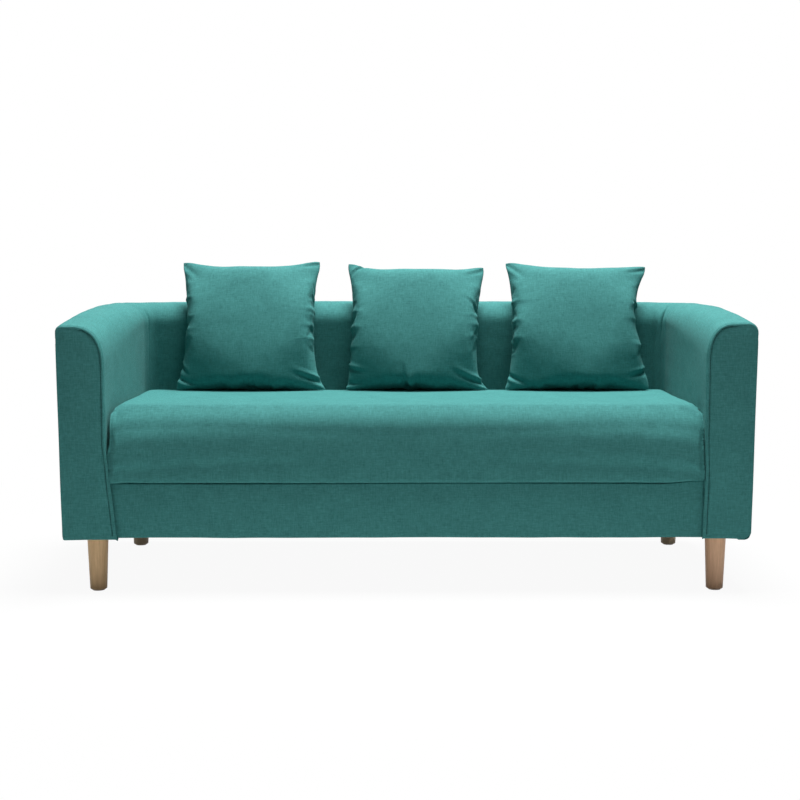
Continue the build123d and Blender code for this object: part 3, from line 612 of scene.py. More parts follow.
def front_border():
    """Padded border under the seat cushion, rolled back at its top and folded under at its hem."""
    left, right = border_low.x, border_high.x
    face_y = border_low.y
    top = cushion_low.z - GROOVE
    columns = np.linspace(left, right, 150)
    low = HEM_Z
    section = [(face_y + HEM_TURN, low + 0.0008), (face_y + 0.004, low)]
    for a in (0.4, 0.8, 1.2):
        section.append((face_y + HEM_ROLL - HEM_ROLL * math.sin(a), low + HEM_ROLL - HEM_ROLL * math.cos(a)))
    section += [(face_y, z) for z in np.linspace(low + 0.004, top - 0.004, 22)]
    for a in (0.3, 0.6, 0.9, 1.2, 1.5):
        section.append((face_y + ROLL * (1 - math.cos(a)), top - ROLL * (1 - math.sin(a))))
    section += [(face_y + behind, cushion_low.z + 0.0001) for behind in BORDER_FOLDS]
    reach = reach_along(np.array(section))
    points = np.zeros((len(columns), len(section), 3))
    cloth = np.zeros((len(columns), len(section), 2))
    for i, x in enumerate(columns):
        for j, (y, z) in enumerate(section):
            share = (z - low) / (top - low)
            belly = BORDER_BELLY * math.sin(math.pi * min(1.0, max(0.0, share)))
            calm = uneven((x, 0.0, z), BORDER_WAVES)
            hem_wave = uneven((x, 0.0, 0.0), BORDER_HEM_WAVES) * (1 - share)
            forward = (belly + calm) * smooth_step(share, 0.0, 0.15)
            points[i, j] = (x, y - forward, z + seam_rise(x) * share + hem_wave)
            cloth[i, j] = (x, reach[j])
    faces = grid_faces(len(columns), len(section))
    piece = new_mesh_object("front_border", points.reshape(-1, 3), faces, cloth.reshape(-1, 2))
    if piece.data.polygons[len(section) * 60 + 12].normal.y > 0:
        piece.data.flip_normals()
    thickened(piece, FABRIC)
    return piece


# ---- Cloth simulation -----------------------------------------------------------------------------
def inflated(piece, pressure, frames, stiffness, mass):
    """Blow a closed cloth form up and return where its points go. The modifier doesn't stay."""
    cloth = piece.modifiers.new("cloth", "CLOTH")
    settings = cloth.settings
    settings.quality = 6
    settings.mass = mass
    settings.air_damping = 1.0
    settings.tension_stiffness = stiffness
    settings.compression_stiffness = stiffness
    settings.shear_stiffness = stiffness / 3
    settings.bending_stiffness = 0.5
    settings.use_pressure = True
    settings.uniform_pressure_force = pressure
    settings.effector_weights.gravity = 0.0
    cloth.collision_settings.use_collision = False
    cloth.collision_settings.use_self_collision = False
    cloth.point_cache.frame_start = 1
    cloth.point_cache.frame_end = frames + 1
    for step in range(1, frames + 1):
        bpy.context.scene.frame_set(step)
    graph = bpy.context.evaluated_depsgraph_get()
    points = coordinates(piece.evaluated_get(graph).data)
    piece.modifiers.remove(cloth)
    bpy.context.scene.frame_set(1)
    return points


# ---- Seat cushion ---------------------------------------------------------------------------------
CUSHION_END = INNER_X - 0.0050       # ends of the cushion, a little way off the arms
CUSHION_START_INSET = 0.009          # the form is cut smaller by this much before it is blown up
CUSHION_SWELL = 0.024                # the most that any point of it moves
CUSHION_RADII = (0.003, 0.024, 0.034, 0.060)   # lower front, lower rear, upper rear, upper front
CUSHION_WAVES = ((0.0016, 0.13, 11), (0.0006, 0.04, 12))
END_PANEL_PLACE = 3.0                # where the end panels lie on the cloth's map, clear of the band
END_SEAM_DEPTH = 0.0028
END_SEAM_WIDTH = 0.005


def rounded_section(front, rear, low, high, radii, spacing):
    """Closed section in y and z, anticlockwise seen from the right, with four corner radii."""
    front_low, rear_low, rear_high, front_high = radii
    points = arc_points((rear - rear_low, low + rear_low), rear_low, -90, 0, 8)
    points += arc_points((rear - rear_high, high - rear_high), rear_high, 0, 90, 10)
    points += arc_points((front + front_high, high - front_high), front_high, 90, 180, 16)
    points += arc_points((front + front_low, low + front_low), front_low, 180, 270, 6)
    return even_loop(points, spacing)


def seat_cushion():
    """Bench cushion in one box: a long band round it and a sewn panel at each end."""
    inset = CUSHION_START_INSET
    section = rounded_section(
        FRONT_Y + inset * 0.6, cushion_high.y - inset, cushion_low.z + 0.001, SEAT_TOP - inset * 0.7,
        CUSHION_RADII, spacing=0.0105,
    )
    count = len(section)
    half = CUSHION_END - inset
    xs = graded(-half, half, 0.0135, 0.0045, 0.018)
    vertices = [(x, y, z) for x in xs for y, z in section]
    reach = reach_along(section)
    cloth = [(x, r) for x in xs for r in reach]
    faces = []
    for i in range(len(xs) - 1):
        for k in range(count):
            n = (k + 1) % count
            a, b = i * count + k, i * count + n
            faces.append((a, a + count, b + count, b))
    rings = []
    for end in (0, len(xs) - 1):
        points, triangles = filled(section, np.zeros((0, 2)), spacing=0.012, clear=0.006)
        ring = [end * count + k for k in range(count)]
        rings.append(ring)
        start = len(vertices)
        lookup = ring + [start + k for k in range(len(points) - count)]
        vertices += [(xs[end], y, z) for y, z in points[count:]]
        cloth += [(y + END_PANEL_PLACE, z) for y, z in points[count:]]
        for triangle in triangles:
            face = tuple(lookup[i] for i in triangle)
            faces.append(face if end else face[::-1])
    piece = new_mesh_object("seat_cushion", vertices, faces, cloth)
    middle_z = (cushion_low.z + SEAT_TOP) / 2
    if sum(p.normal.z * (p.center.z - middle_z) for p in piece.data.polygons) < 0:
        piece.data.flip_normals()
    before = coordinates(piece.data)
    after = inflated(piece, pressure=4.0, frames=14, stiffness=18.0, mass=0.35)
    move = after - before
    size = np.linalg.norm(move, axis=1, keepdims=True)
    move *= np.minimum(1.0, CUSHION_SWELL / np.maximum(size, 1e-9))
    points = settled_cushion(before, before + move)
    set_coordinates(piece.data, points)
    tree = kdtree.KDTree(2 * count)
    for index in rings[0] + rings[1]:
        tree.insert(points[index], index)
    tree.balance()
    subdivided(piece)
    points = coordinates(piece.data)
    normals = vertex_normals(piece.data)
    for index in range(len(points)):
        distance = tree.find(points[index])[2]
        calm = uneven(points[index], CUSHION_WAVES)
        points[index] += normals[index] * (calm - END_SEAM_DEPTH * bell(distance / END_SEAM_WIDTH))
    set_coordinates(piece.data, flattened_under(points, final=1.0))
    return piece


def settled_cushion(before, after):
    """Fit the inflated cushion between the arms and in front of the back, flat on the deck."""
    points = after.copy()
    middle = np.abs(points[:, 0]) < 0.6
    low, high = FRONT_Y - 0.002, cushion_high.y - 0.001
    reached_low, reached_high = points[middle, 1].min(), points[middle, 1].max()
    points[:, 1] = low + (high - low) * clipped((points[:, 1] - reached_low) / (reached_high - reached_low))
    # Draw the ends out to the arms.
    end = np.sign(before[:, 0])
    reach = np.abs(before[:, 0]).max()
    outward = (after[:, 0] - before[:, 0]) * end
    stretched = before[:, 0] * (CUSHION_END - 0.002) / reach + end * 0.3 * np.clip(outward, -0.004, 0.009)
    near = clipped((np.abs(before[:, 0]) - 0.55) / 0.15)
    points[:, 0] = points[:, 0] * (1 - near) + stretched * near
    # The left end's front leans on its arm at one height.
    touching = np.exp(-((points[:, 2] - 0.360) / 0.028) ** 2 - ((points[:, 1] - FRONT_Y) / 0.09) ** 2)
    points[:, 0] -= 0.0065 * touching * clipped((-points[:, 0] - 0.70) / 0.06)
    # The lower part of the front stands upright.
    behind = points[:, 1] - low
    upright = clipped((0.385 - points[:, 2]) / 0.07)
    points[:, 1] -= 0.0065 * upright * clipped((0.035 - behind) / 0.02)
    # The front corners are drawn in by their seams, and the seat sinks a little towards them.
    corner = clipped((0.030 - behind) / 0.030) ** 2 * clipped((np.abs(points[:, 0]) - 0.72) / 0.04)
    points[:, 0] -= np.sign(points[:, 0]) * 0.0045 * corner * np.clip((points[:, 2] - 0.355) / 0.03, 0.2, 1.0)
    sunk = clipped((-0.18 - points[:, 1]) / 0.14) * clipped((np.abs(points[:, 0]) - 0.66) / 0.10)
    points[:, 2] -= 0.006 * sunk * clipped((points[:, 2] - 0.40) / 0.05)
    return flattened_under(points)


FOOT_BAND = 0.022            # height of the cushion's front over which it is drawn down to its foot


def flattened_under(points, final=0.0):
    """Keep the cushion above the deck and the border, and under its top. final squares its front foot."""
    rise = np.array([seam_rise(x) for x in points[:, 0]])
    front = clipped((-0.30 - points[:, 1]) / 0.05)
    edge = clipped((cushion_low.y + 0.020 - points[:, 1]) / 0.010)
    foot = cushion_low.z + 0.0004 + rise * front
    above = clipped((points[:, 2] - foot) / FOOT_BAND)
    points[:, 2] -= final * edge * FOOT_BAND * (above - above ** 3.8)
    points[:, 2] = np.where(points[:, 2] < foot, foot, points[:, 2])
    over = points[:, 2] - (SEAT_TOP + 0.001)
    points[:, 2] -= np.where(over > 0, over * 0.75, 0.0)
    return points


# ---- Scatter pillows ------------------------------------------------------------------------------
PILLOW_CELLS = 76
PILLOW_TILT = math.radians(19.0)
PILLOW_FLAT = 0.436          # cut size of the cover
PILLOW_FOOT_Y = 0.1278
PILLOW_FOOT_GAP = 0.0018     # between the lower seam and the top of the seat
PILLOW_SEAT_GAP = 0.0012     # the least that any part keeps
PILLOW_HALF = 0.214          # half the width of a filled pillow
PILLOW_FRONT = 0.077         # how far the front and the rear panel stand off the seams' plane
PILLOW_REAR = 0.036
MILLIMETRE = 0.001
BOW_PLACES = (0.0, 0.06, 0.12, 0.20, 0.35, 0.50, 0.65, 0.80, 0.88, 0.94, 1.0)
# For each pillow: its four corners in its own plane, from the lower left anticlockwise, how far each
# seam bows in at BOW_PLACES in millimetres, and its creases. A crease runs from one place to another,
# as shares of the width and the height, with a depth, a width and the ridge beside it in millimetres.
PILLOWS = {
    "left": {
        "seed": 3,
        "corners": ((-0.2225, 0.001), (0.2205, 0.001), (0.1975, 0.3990), (-0.2150, 0.3965)),
        "bottom": (0, 0, 1, 3, 5, 5, 4, 2, 1, 0, 0),
        "right": (0, 14, 24, 29, 32, 31, 26, 18, 11, 3, 0),
        "top": (0, 0, 7, 16, 21, 19, 20, 15, 7, 0, 0),
        "left": (0, 6, 12, 21, 23, 28, 22, 15, 10, 5, 0),
        "creases": (
            (0.00, 0.10, 0.20, 0.045, 7.0, 7.0, 4.0), (0.00, 0.20, 0.09, 0.13, 6.0, 6.0, -3.0),
            (0.00, 0.44, 0.07, 0.50, 4.0, 6.0, 2.0), (1.00, 0.06, 0.80, 0.15, 6.0, 8.0, 4.5),
            (1.00, 0.53, 0.93, 0.64, 3.5, 5.0, 2.0), (1.00, 0.62, 0.94, 0.73, 3.5, 5.0, 2.0),
            (1.00, 0.71, 0.94, 0.80, 3.0, 5.0, 1.5), (0.02, 0.97, 0.14, 0.84, 3.0, 9.0, 2.0),
            (0.97, 0.97, 0.80, 0.92, 3.0, 8.0, 2.5), (0.52, 0.00, 0.53, 0.10, 3.0, 9.0, 0.0),
        ),
    },
    "middle": {
        "seed": 8,
        "corners": ((-0.2090, 0.001), (0.2150, 0.001), (0.2055, 0.3810), (-0.2020, 0.3930)),
        "bottom": (0, 0, 1, 3, 6, 6, 4, 2, 1, 0, 0),
        "right": (0, 20, 31, 33, 33, 32, 25, 14, 8, 2, 0),
        "top": (0, 1, 14, 21, 20, 19, 17, 13, 7, 2, 0),
        "left": (0, 11, 11, 14, 18, 21, 19, 14, 8, 2, 0),
        "creases": (
            (0.13, 1.00, 0.03, 0.88, 4.5, 6.0, 3.0), (0.00, 0.46, 0.13, 0.61, 6.0, 8.0, 3.5),
            (0.00, 0.17, 0.15, 0.15, 5.5, 7.0, -4.0), (0.00, 0.05, 0.13, 0.075, 6.0, 7.0, 3.0),
            (0.44, 0.00, 0.43, 0.20, 9.0, 9.0, 2.5), (0.50, 0.00, 0.52, 0.15, 5.0, 8.0, 2.0),
            (1.00, 0.58, 0.84, 0.69, 4.5, 7.0, 3.0), (1.00, 0.49, 0.92, 0.55, 4.0, 6.0, 2.0),
            (1.00, 0.05, 0.78, 0.16, 7.0, 8.0, 5.0), (0.97, 0.96, 0.83, 0.88, 2.5, 8.0, 2.0),
            (0.00, 0.32, 0.06, 0.34, 3.0, 5.0, 1.5),
        ),
    },
    "right": {
        "seed": 5,
        "corners": ((-0.2125, 0.001), (0.2150, 0.001), (0.2215, 0.3830), (-0.2020, 0.3945)),
        "bottom": (0, 0, 1, 3, 5, 5, 4, 2, 1, 0, 0),
        "right": (0, 2, 10, 18, 31, 40, 37, 27, 16, 4, 0),
        "top": (0, -3, 2, 9, 17, 18, 15, 8, 3, 0, 0),
        "left": (0, 10, 16, 20, 26, 26, 25, 18, 13, 7, 0),
        "creases": (
            (0.03, 0.97, 0.14, 0.84, 3.5, 8.0, 2.5), (0.00, 0.60, 0.08, 0.615, 4.0, 5.0, 2.0),
            (0.00, 0.53, 0.06, 0.54, 3.5, 5.0, 2.0), (0.00, 0.46, 0.08, 0.475, 4.0, 5.0, 2.0),
            (0.00, 0.37, 0.06, 0.38, 3.5, 5.0, 2.0), (0.00, 0.28, 0.07, 0.29, 3.5, 5.0, 1.5),
            (0.00, 0.12, 0.17, 0.06, 6.5, 7.0, 4.0), (1.00, 0.15, 0.84, 0.12, 8.0, 8.0, 3.0),
            (1.00, 0.62, 0.88, 0.66, 4.5, 7.0, 3.0), (1.00, 0.53, 0.94, 0.52, 3.5, 6.0, 1.5),
            (0.98, 0.96, 0.84, 0.89, 3.0, 8.0, 2.5), (0.48, 0.00, 0.47, 0.11, 4.0, 9.0, 0.0),
        ),
    },
}


def pillow_form(name, seed):
    """Two squares of cloth sewn round their edge. Returns the object and its points' places by layer."""
    n = PILLOW_CELLS
    places = np.linspace(-1.0, 1.0, n + 1)
    index = np.zeros((2, n + 1, n + 1), dtype=int)
    vertices = []
    for layer in (0, 1):
        for i, a in enumerate(places):
            for j, b in enumerate(places):
                if layer and (i in (0, n) or j in (0, n)):
                    index[1, i, j] = index[0, i, j]
                    continue
                away = min(1.0, min(i, n - i, j, n - j) / 8)
                lift = (0.004 + 0.0022 * ripple((a, b, layer), 0.5, seed)) * away
                index[layer, i, j] = len(vertices)
                half = PILLOW_FLAT / 2
                vertices.append((a * half, b * half, -lift if layer else lift))
    faces = []
    for layer in (0, 1):
        for i in range(n):
            for j in range(n):
                quad = [index[layer, p, q] for p, q in ((i, j), (i + 1, j), (i + 1, j + 1), (i, j + 1))]
                faces.append(tuple(quad[::-1] if layer else quad))
    cloth = [(x, y) for x, y, _ in vertices]
    return new_mesh_object(name, vertices, faces, cloth), index


def fitted_seams(points, index, settings):
    """Shift a pillow's points in its plane so that its four seams run along their bowed lines."""
    n = PILLOW_CELLS
    corners = [np.array(c) for c in settings["corners"]]
    shares = np.linspace(0.0, 1.0, n + 1)

    def seam(start, end, bows, turn):
        along = (end - start) / np.linalg.norm(end - start)
        inward = np.array([-along[1], along[0]]) * turn
        depth = np.interp(shares, BOW_PLACES, bows) * MILLIMETRE
        depth = np.convolve(np.pad(depth, 2, mode="edge"), np.full(5, 0.2), mode="valid")
        tips = np.minimum(shares, 1 - shares) * n
        depth += 0.0035 * np.exp(-tips / 0.9) - depth * np.exp(-tips / 0.5)
        return start + np.outer(shares, end - start) + depth[:, None] * inward

    bottom = seam(corners[0], corners[1], settings["bottom"], 1.0)
    right = seam(corners[1], corners[2], settings["right"], 1.0)
    top = seam(corners[3], corners[2], settings["top"], -1.0)
    left = seam(corners[0], corners[3], settings["left"], -1.0)
    meetings = ((bottom, 0, left, 0), (bottom, n, right, 0), (top, n, right, n), (top, 0, left, n))
    for first, i, second, j in meetings:
        tip = (first[i] + second[j]) / 2
        first[i], second[j] = tip, tip
    flat = points[:, :2]
    moves = {
        "bottom": bottom - flat[index[0, :, 0]], "top": top - flat[index[0, :, n]],
        "left": left - flat[index[0, 0, :]], "right": right - flat[index[0, n, :]],
    }
    s, t = np.meshgrid(shares, shares, indexing="ij")
    s, t = s[..., None], t[..., None]
    blend = (1 - t) * moves["bottom"][:, None] + t * moves["top"][:, None]
    blend = blend + (1 - s) * moves["left"][None] + s * moves["right"][None]
    blend = blend - (1 - s) * (1 - t) * moves["bottom"][0] - s * (1 - t) * moves["bottom"][n]
    blend = blend - (1 - s) * t * moves["top"][0] - s * t * moves["top"][n]
    shifted = points.copy()
    for layer in (1, 0):
        shifted[index[layer].ravel(), :2] = (flat[index[layer]] + blend).reshape(-1, 2)
    return shifted


def smoothed_grid(heights, index):
    """Even out the small frills near a pillow's upper seam."""
    result = heights.copy()
    share = clipped((np.linspace(0.0, 1.0, PILLOW_CELLS + 1) - 0.80) / 0.10)[None, 1:-1]
    for layer in (0, 1):
        grid = heights[index[layer]]
        for _ in range(30):
            padded = np.pad(grid, ((3, 3), (0, 0)), mode="edge")
            even = np.mean([padded[k:k + grid.shape[0]] for k in range(7)], axis=0)
            grid[1:-1, 1:-1] += (even[1:-1, 1:-1] - grid[1:-1, 1:-1]) * share * 0.5
        result[index[layer].ravel()] = grid.ravel()
    return result


def crease_push(place, creases):
    """Height that creases give a place of the cover, in metres.

    place holds shares of the width and the height.
    """
    push = 0.0
    for s0, t0, s1, t1, depth, width, ridge in creases:
        start = np.array((s0, t0)) * PILLOW_FLAT
        end = np.array((s1, t1)) * PILLOW_FLAT
        length = np.linalg.norm(end - start)
        along = (end - start) / length
        away = np.array(place) * PILLOW_FLAT - start
        reach = away.dot(along) / length
        if reach < -0.6 or reach > 1.5:
            continue
        side = (along[0] * away[1] - along[1] * away[0]) / (width * MILLIMETRE)
        if abs(side) > 4:
            continue
        fade = smooth_step(1.25 - reach, 0.0, 1.0) * smooth_step(reach, -0.5, 0.1)
        push -= depth * MILLIMETRE * fade * bell(side)
        push += abs(ridge) * MILLIMETRE * fade * bell((side - math.copysign(1.5, -ridge)) / 0.9)
    return push


def cloth_places(mesh):
    """Each point's place on the cloth's own map."""
    corners = np.zeros(len(mesh.loops), dtype=np.int32)
    mesh.loops.foreach_get("vertex_index", corners)
    flat = np.zeros(len(mesh.loops) * 2, dtype=np.float32)
    mesh.uv_layers["cloth"].data.foreach_get("uv", flat)
    places = np.zeros((len(mesh.vertices), 2))
    places[corners] = flat.reshape(-1, 2)
    return places


def scatter_pillow(name, settings):
    """One pillow: blown up, drawn into its seams, creased, and leant on the back."""
    piece, index = pillow_form(name + "_pillow", settings["seed"])
    points = inflated(piece, pressure=4.0, frames=19, stiffness=15.0, mass=0.3)
    points = fitted_seams(points, index, settings)
    u, v, d = points[:, 0], points[:, 1], points[:, 2]
    height = settings["corners"][3][1]
    across, upward = u / PILLOW_HALF, 2 * v / height - 1
    d = d * (1 - 0.24 * across ** 2 - 0.30 * (upward + 0.12) ** 2)
    d = np.where(d > 0, d * PILLOW_FRONT / d.max(), d * PILLOW_REAR / -d.min())
    v = smoothed_grid(v, index)
    d = smoothed_grid(d, index)
    set_coordinates(piece.data, np.stack([u, v, d], axis=1))
    subdivided(piece)
    points = coordinates(piece.data)
    normals = vertex_normals(piece.data)
    places = cloth_places(piece.data) / PILLOW_FLAT + 0.5
    for k, (s, t) in enumerate(places):
        from_seam = min(s, 1 - s, t, 1 - t) * PILLOW_FLAT
        fade = smooth_step(from_seam, 0.0, 0.006)
        rear = points[k, 2] < 0
        round_seam = (s, t, 0.4 if rear else 0.0)
        pucker = 0.0011 * ripple(round_seam, 0.045, settings["seed"]) * math.exp(-from_seam / 0.016)
        pucker *= 1 - 0.9 * smooth_step(t, 0.82, 0.93)
        calm = 0.0016 * ripple(round_seam, 0.22, settings["seed"] + 1) + 0.0006 * ripple(round_seam, 0.08, 15)
        push = (pucker + calm) * fade
        if not rear:
            push += crease_push((s, t), settings["creases"]) * max(fade, 0.35)
        points[k] += normals[k] * push
    centre_x = sum(c.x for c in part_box(name + "_pillow_cover")) / 2
    foot_z = SEAT_TOP + PILLOW_FOOT_GAP
    u, v, d = points.T
    placed = np.stack([
        u + centre_x,
        PILLOW_FOOT_Y + v * math.sin(PILLOW_TILT) - d * math.cos(PILLOW_TILT),
        foot_z + v * math.cos(PILLOW_TILT) + d * math.sin(PILLOW_TILT),
    ], axis=1)
    placed[:, 2] = np.maximum(placed[:, 2], SEAT_TOP + PILLOW_SEAT_GAP)
    set_coordinates(piece.data, placed)
    return piece


# ---- Materials ------------------------------------------------------------------------------------
def node(tree, kind, **settings):
    """New node of a kind, with its settings."""
    made = tree.nodes.new(kind)
    for key, value in settings.items():
        setattr(made, key, value)
    return made


def mapped(tree, source, scale):
    """The coordinates in source, scaled separately along x, y and z."""
    mapping = node(tree, "ShaderNodeMapping")
    mapping.inputs["Scale"].default_value = scale
    tree.links.new(source, mapping.inputs["Vector"])
    return mapping.outputs[0]


def noise_value(tree, source, scale, detail=2.0, roughness=0.5):
    """Noise from 0 to 1 with a cell about 1/scale metres long on each axis."""
    texture = node(tree, "ShaderNodeTexNoise")
    texture.inputs["Scale"].default_value = 1.0
    texture.inputs["Detail"].default_value = detail
    texture.inputs["Roughness"].default_value = roughness
    tree.links.new(mapped(tree, source, scale), texture.inputs["Vector"])
    return texture.outputs["Fac"]


def calculated(tree, operation, first, second=None, third=None):
    """Output of a math node. Each value is a number or another node's output."""
    made = node(tree, "ShaderNodeMath", operation=operation)
    for socket, value in zip(made.inputs, (first, second, third)):
        if value is None:
            continue
        if isinstance(value, (int, float)):
            socket.default_value = value
        else:
            tree.links.new(value, socket)
    return made.outputs[0]


def weighted(tree, parts):
    """Sum of values that vary about 0.5, each with its weight. The sum varies about 0.5 too."""
    total = None
    for value, weight in parts:
        centred = calculated(tree, "SUBTRACT", value, 0.5)
        total = calculated(tree, "MULTIPLY_ADD", centred, weight, 0.5 if total is None else total)
    return total


def mixed_colour(tree, share, dark, light):
    """Colour between dark and light. Sockets 6, 7 and 2 are the mix node's colour sockets."""
    mix = node(tree, "ShaderNodeMix", data_type="RGBA")
    mix.clamp_factor = True
    tree.links.new(share, mix.inputs["Factor"])
    mix.inputs[6].default_value = (*dark, 1.0)
    mix.inputs[7].default_value = (*light, 1.0)
    return mix.outputs[2]


def weave_group():
    """Plain weave of uneven threads: where its tone and its height vary, from coordinates in metres."""
    tree = bpy.data.node_groups.new("uneven_weave", "ShaderNodeTree")
    tree.interface.new_socket("Cloth", in_out="INPUT", socket_type="NodeSocketVector")
    for name in ("Threads per metre", "Slubs"):
        tree.interface.new_socket(name, in_out="INPUT", socket_type="NodeSocketFloat")
    for name in ("Tone", "Height"):
        tree.interface.new_socket(name, in_out="OUTPUT", socket_type="NodeSocketFloat")
    entry = node(tree, "NodeGroupInput")
    leave = node(tree, "NodeGroupOutput")
    cloth = entry.outputs["Cloth"]
    long_warp = noise_value(tree, cloth, (300.0, 38.0, 1.0), 2.0)
    long_weft = noise_value(tree, cloth, (34.0, 320.0, 1.0), 2.0)
    fine_warp = noise_value(tree, cloth, (900.0, 110.0, 1.0), 1.0)
    fine_weft = noise_value(tree, cloth, (110.0, 900.0, 1.0), 1.0)
    blotches = noise_value(tree, cloth, (95.0, 95.0, 1.0), 3.0, 0.6)
    clouds = noise_value(tree, cloth, (14.0, 14.0, 1.0), 2.0)
    streaks = weighted(tree, [
        (long_warp, 0.60), (long_weft, 0.60), (fine_warp, 0.5),
        (fine_weft, 0.5), (blotches, 0.45), (clouds, 0.30),
    ])
    centred = calculated(tree, "SUBTRACT", streaks, 0.5)
    tone = calculated(tree, "MULTIPLY_ADD", centred, entry.outputs["Slubs"], 0.5)
    parts = node(tree, "ShaderNodeSeparateXYZ")
    tree.links.new(cloth, parts.inputs[0])
    turns = calculated(tree, "MULTIPLY", entry.outputs["Threads per metre"], math.pi)
    across = calculated(tree, "SINE", calculated(tree, "MULTIPLY", parts.outputs[0], turns))
    along = calculated(tree, "SINE", calculated(tree, "MULTIPLY", parts.outputs[1], turns))
    crossing = calculated(tree, "MULTIPLY_ADD", calculated(tree, "MULTIPLY", across, along), 0.35, 0.5)
    thickness = weighted(tree, [
        (long_warp, 0.5), (long_weft, 0.5), (fine_warp, 0.5), (fine_weft, 0.5), (crossing, 1.0),
    ])
    tree.links.new(tone, leave.inputs["Tone"])
    tree.links.new(thickness, leave.inputs["Height"])
    return tree


weave = weave_group()


def new_material(name, roughness):
    material = bpy.data.materials.new(name)
    material.use_nodes = True
    tree = material.node_tree
    shader = tree.nodes["Principled BSDF"]
    shader.inputs["Roughness"].default_value = roughness
    return material, tree, shader


def bumped(tree, shader, height, distance, strength=1.0):
    bump = node(tree, "ShaderNodeBump")
    bump.inputs["Distance"].default_value = distance
    bump.inputs["Strength"].default_value = strength
    tree.links.new(height, bump.inputs["Height"])
    tree.links.new(bump.outputs[0], shader.inputs["Normal"])


def woven(name, dark, light, roughness, threads=900.0, slubs=1.0, relief=0.0004, own_uv=False):
    """Cloth in the uneven weave, laid on the piece's own map or on its place in x and y.

    Returns the material and its shader.
    """
    material, tree, shader = new_material(name, roughness)
    if own_uv:
        place = node(tree, "ShaderNodeUVMap", uv_map="cloth").outputs[0]
    else:
        place = node(tree, "ShaderNodeTexCoord").outputs["Object"]
    cloth = node(tree, "ShaderNodeGroup", node_tree=weave)
    cloth.inputs["Threads per metre"].default_value = threads
    cloth.inputs["Slubs"].default_value = slubs
    tree.links.new(place, cloth.inputs["Cloth"])
    tree.links.new(mixed_colour(tree, cloth.outputs["Tone"], dark, light), shader.inputs["Base Color"])
    bumped(tree, shader, cloth.outputs["Height"], relief)
    shader.inputs["Specular IOR Level"].default_value = 0.2
    return material, shader


def teal_linen():
    material, shader = woven("teal_linen", (0.025, 0.143, 0.138), (0.080, 0.325, 0.310), 0.85, own_uv=True)
    shader.inputs["Sheen Weight"].default_value = 0.05
    shader.inputs["Sheen Roughness"].default_value = 0.45
    shader.inputs["Sheen Tint"].default_value = (0.55, 0.85, 0.82, 1.0)
    return material


def wooden(name, dark, light, along, roughness, relief=0.0002):
    """Straight-grained wood. along is the axis the grain runs in, 0 to 2."""
    material, tree, shader = new_material(name, roughness)
    place = node(tree, "ShaderNodeTexCoord").outputs["Object"]

    def stretched(across, length):
        scale = [across] * 3
        scale[along] = length
        return tuple(scale)

    grain = noise_value(tree, place, stretched(260.0, 9.0), 4.0, 0.6)
    pores = noise_value(tree, place, stretched(1100.0, 40.0), 2.0, 0.6)
    growth = noise_value(tree, place, stretched(45.0, 3.5), 3.0, 0.5)
    tone = weighted(tree, [(grain, 1.1), (pores, 0.6), (growth, 1.0)])
    tree.links.new(mixed_colour(tree, tone, dark, light), shader.inputs["Base Color"])
    bumped(tree, shader, pores, relief, 0.5)
    return material


def speckled(name, dark, light, cell, roughness, relief, metallic):
    """Plain material with a fine uneven tone and surface. cell is its grain in metres."""
    material, tree, shader = new_material(name, roughness)
    place = node(tree, "ShaderNodeTexCoord").outputs["Object"]
    fine = noise_value(tree, place, (1 / cell,) * 3, 3.0, 0.6)
    broad = noise_value(tree, place, (0.12 / cell,) * 3, 2.0, 0.5)
    tone = weighted(tree, [(fine, 0.9), (broad, 0.7)])
    tree.links.new(mixed_colour(tree, tone, dark, light), shader.inputs["Base Color"])
    bumped(tree, shader, fine, relief, 0.6)
    shader.inputs["Metallic"].default_value = metallic
    return material


WOODS = {                    # dark and light tone, the axis that the grain runs in, roughness
    "leg_beech": ((0.55, 0.33, 0.15), (0.90, 0.62, 0.33), 2, 0.5),
    "pink_leg_beech": ((0.53, 0.29, 0.155), (0.88, 0.55, 0.34), 2, 0.5),
    # paler copy of the leg beech for the rear legs: painted light that lifts the shade they stand in under
    # the sofa
    "painted_light_rear_leg_beech": ((0.72, 0.50, 0.30), (0.95, 0.76, 0.52), 2, 0.5),
    "frame_pine": ((0.52, 0.34, 0.17), (0.78, 0.60, 0.38), 0, 0.7),
    "post_pine": ((0.50, 0.33, 0.17), (0.76, 0.58, 0.37), 2, 0.7),
    "side_pine": ((0.50, 0.33, 0.17), (0.76, 0.58, 0.37), 1, 0.7),
    "birch_plywood": ((0.56, 0.40, 0.24), (0.80, 0.64, 0.44), 2, 0.65),
}
SPECKLES = {                 # dark and light tone, grain in metres, roughness, relief, metallic
    "seam_thread": ((0.006, 0.050, 0.048), (0.014, 0.090, 0.085), 0.0004, 0.8, 0.0001, 0.0),
    "hardboard": ((0.13, 0.07, 0.035), (0.27, 0.16, 0.085), 0.0012, 0.8, 0.0001, 0.0),
    "cream_foam": ((0.62, 0.56, 0.40), (0.82, 0.77, 0.60), 0.0015, 0.95, 0.0004, 0.0),
    "black_dust_cloth": ((0.008, 0.008, 0.009), (0.035, 0.035, 0.037), 0.0009, 0.95, 0.0001, 0.0),
    "zinc_steel": ((0.50, 0.50, 0.52), (0.72, 0.72, 0.74), 0.0015, 0.35, 0.00002, 1.0),
    "zip_nickel": ((0.42, 0.41, 0.39), (0.60, 0.59, 0.57), 0.0008, 0.30, 0.00002, 1.0),
    "pale_glide": ((0.62, 0.58, 0.50), (0.76, 0.73, 0.66), 0.0010, 0.45, 0.0001, 0.0),
}
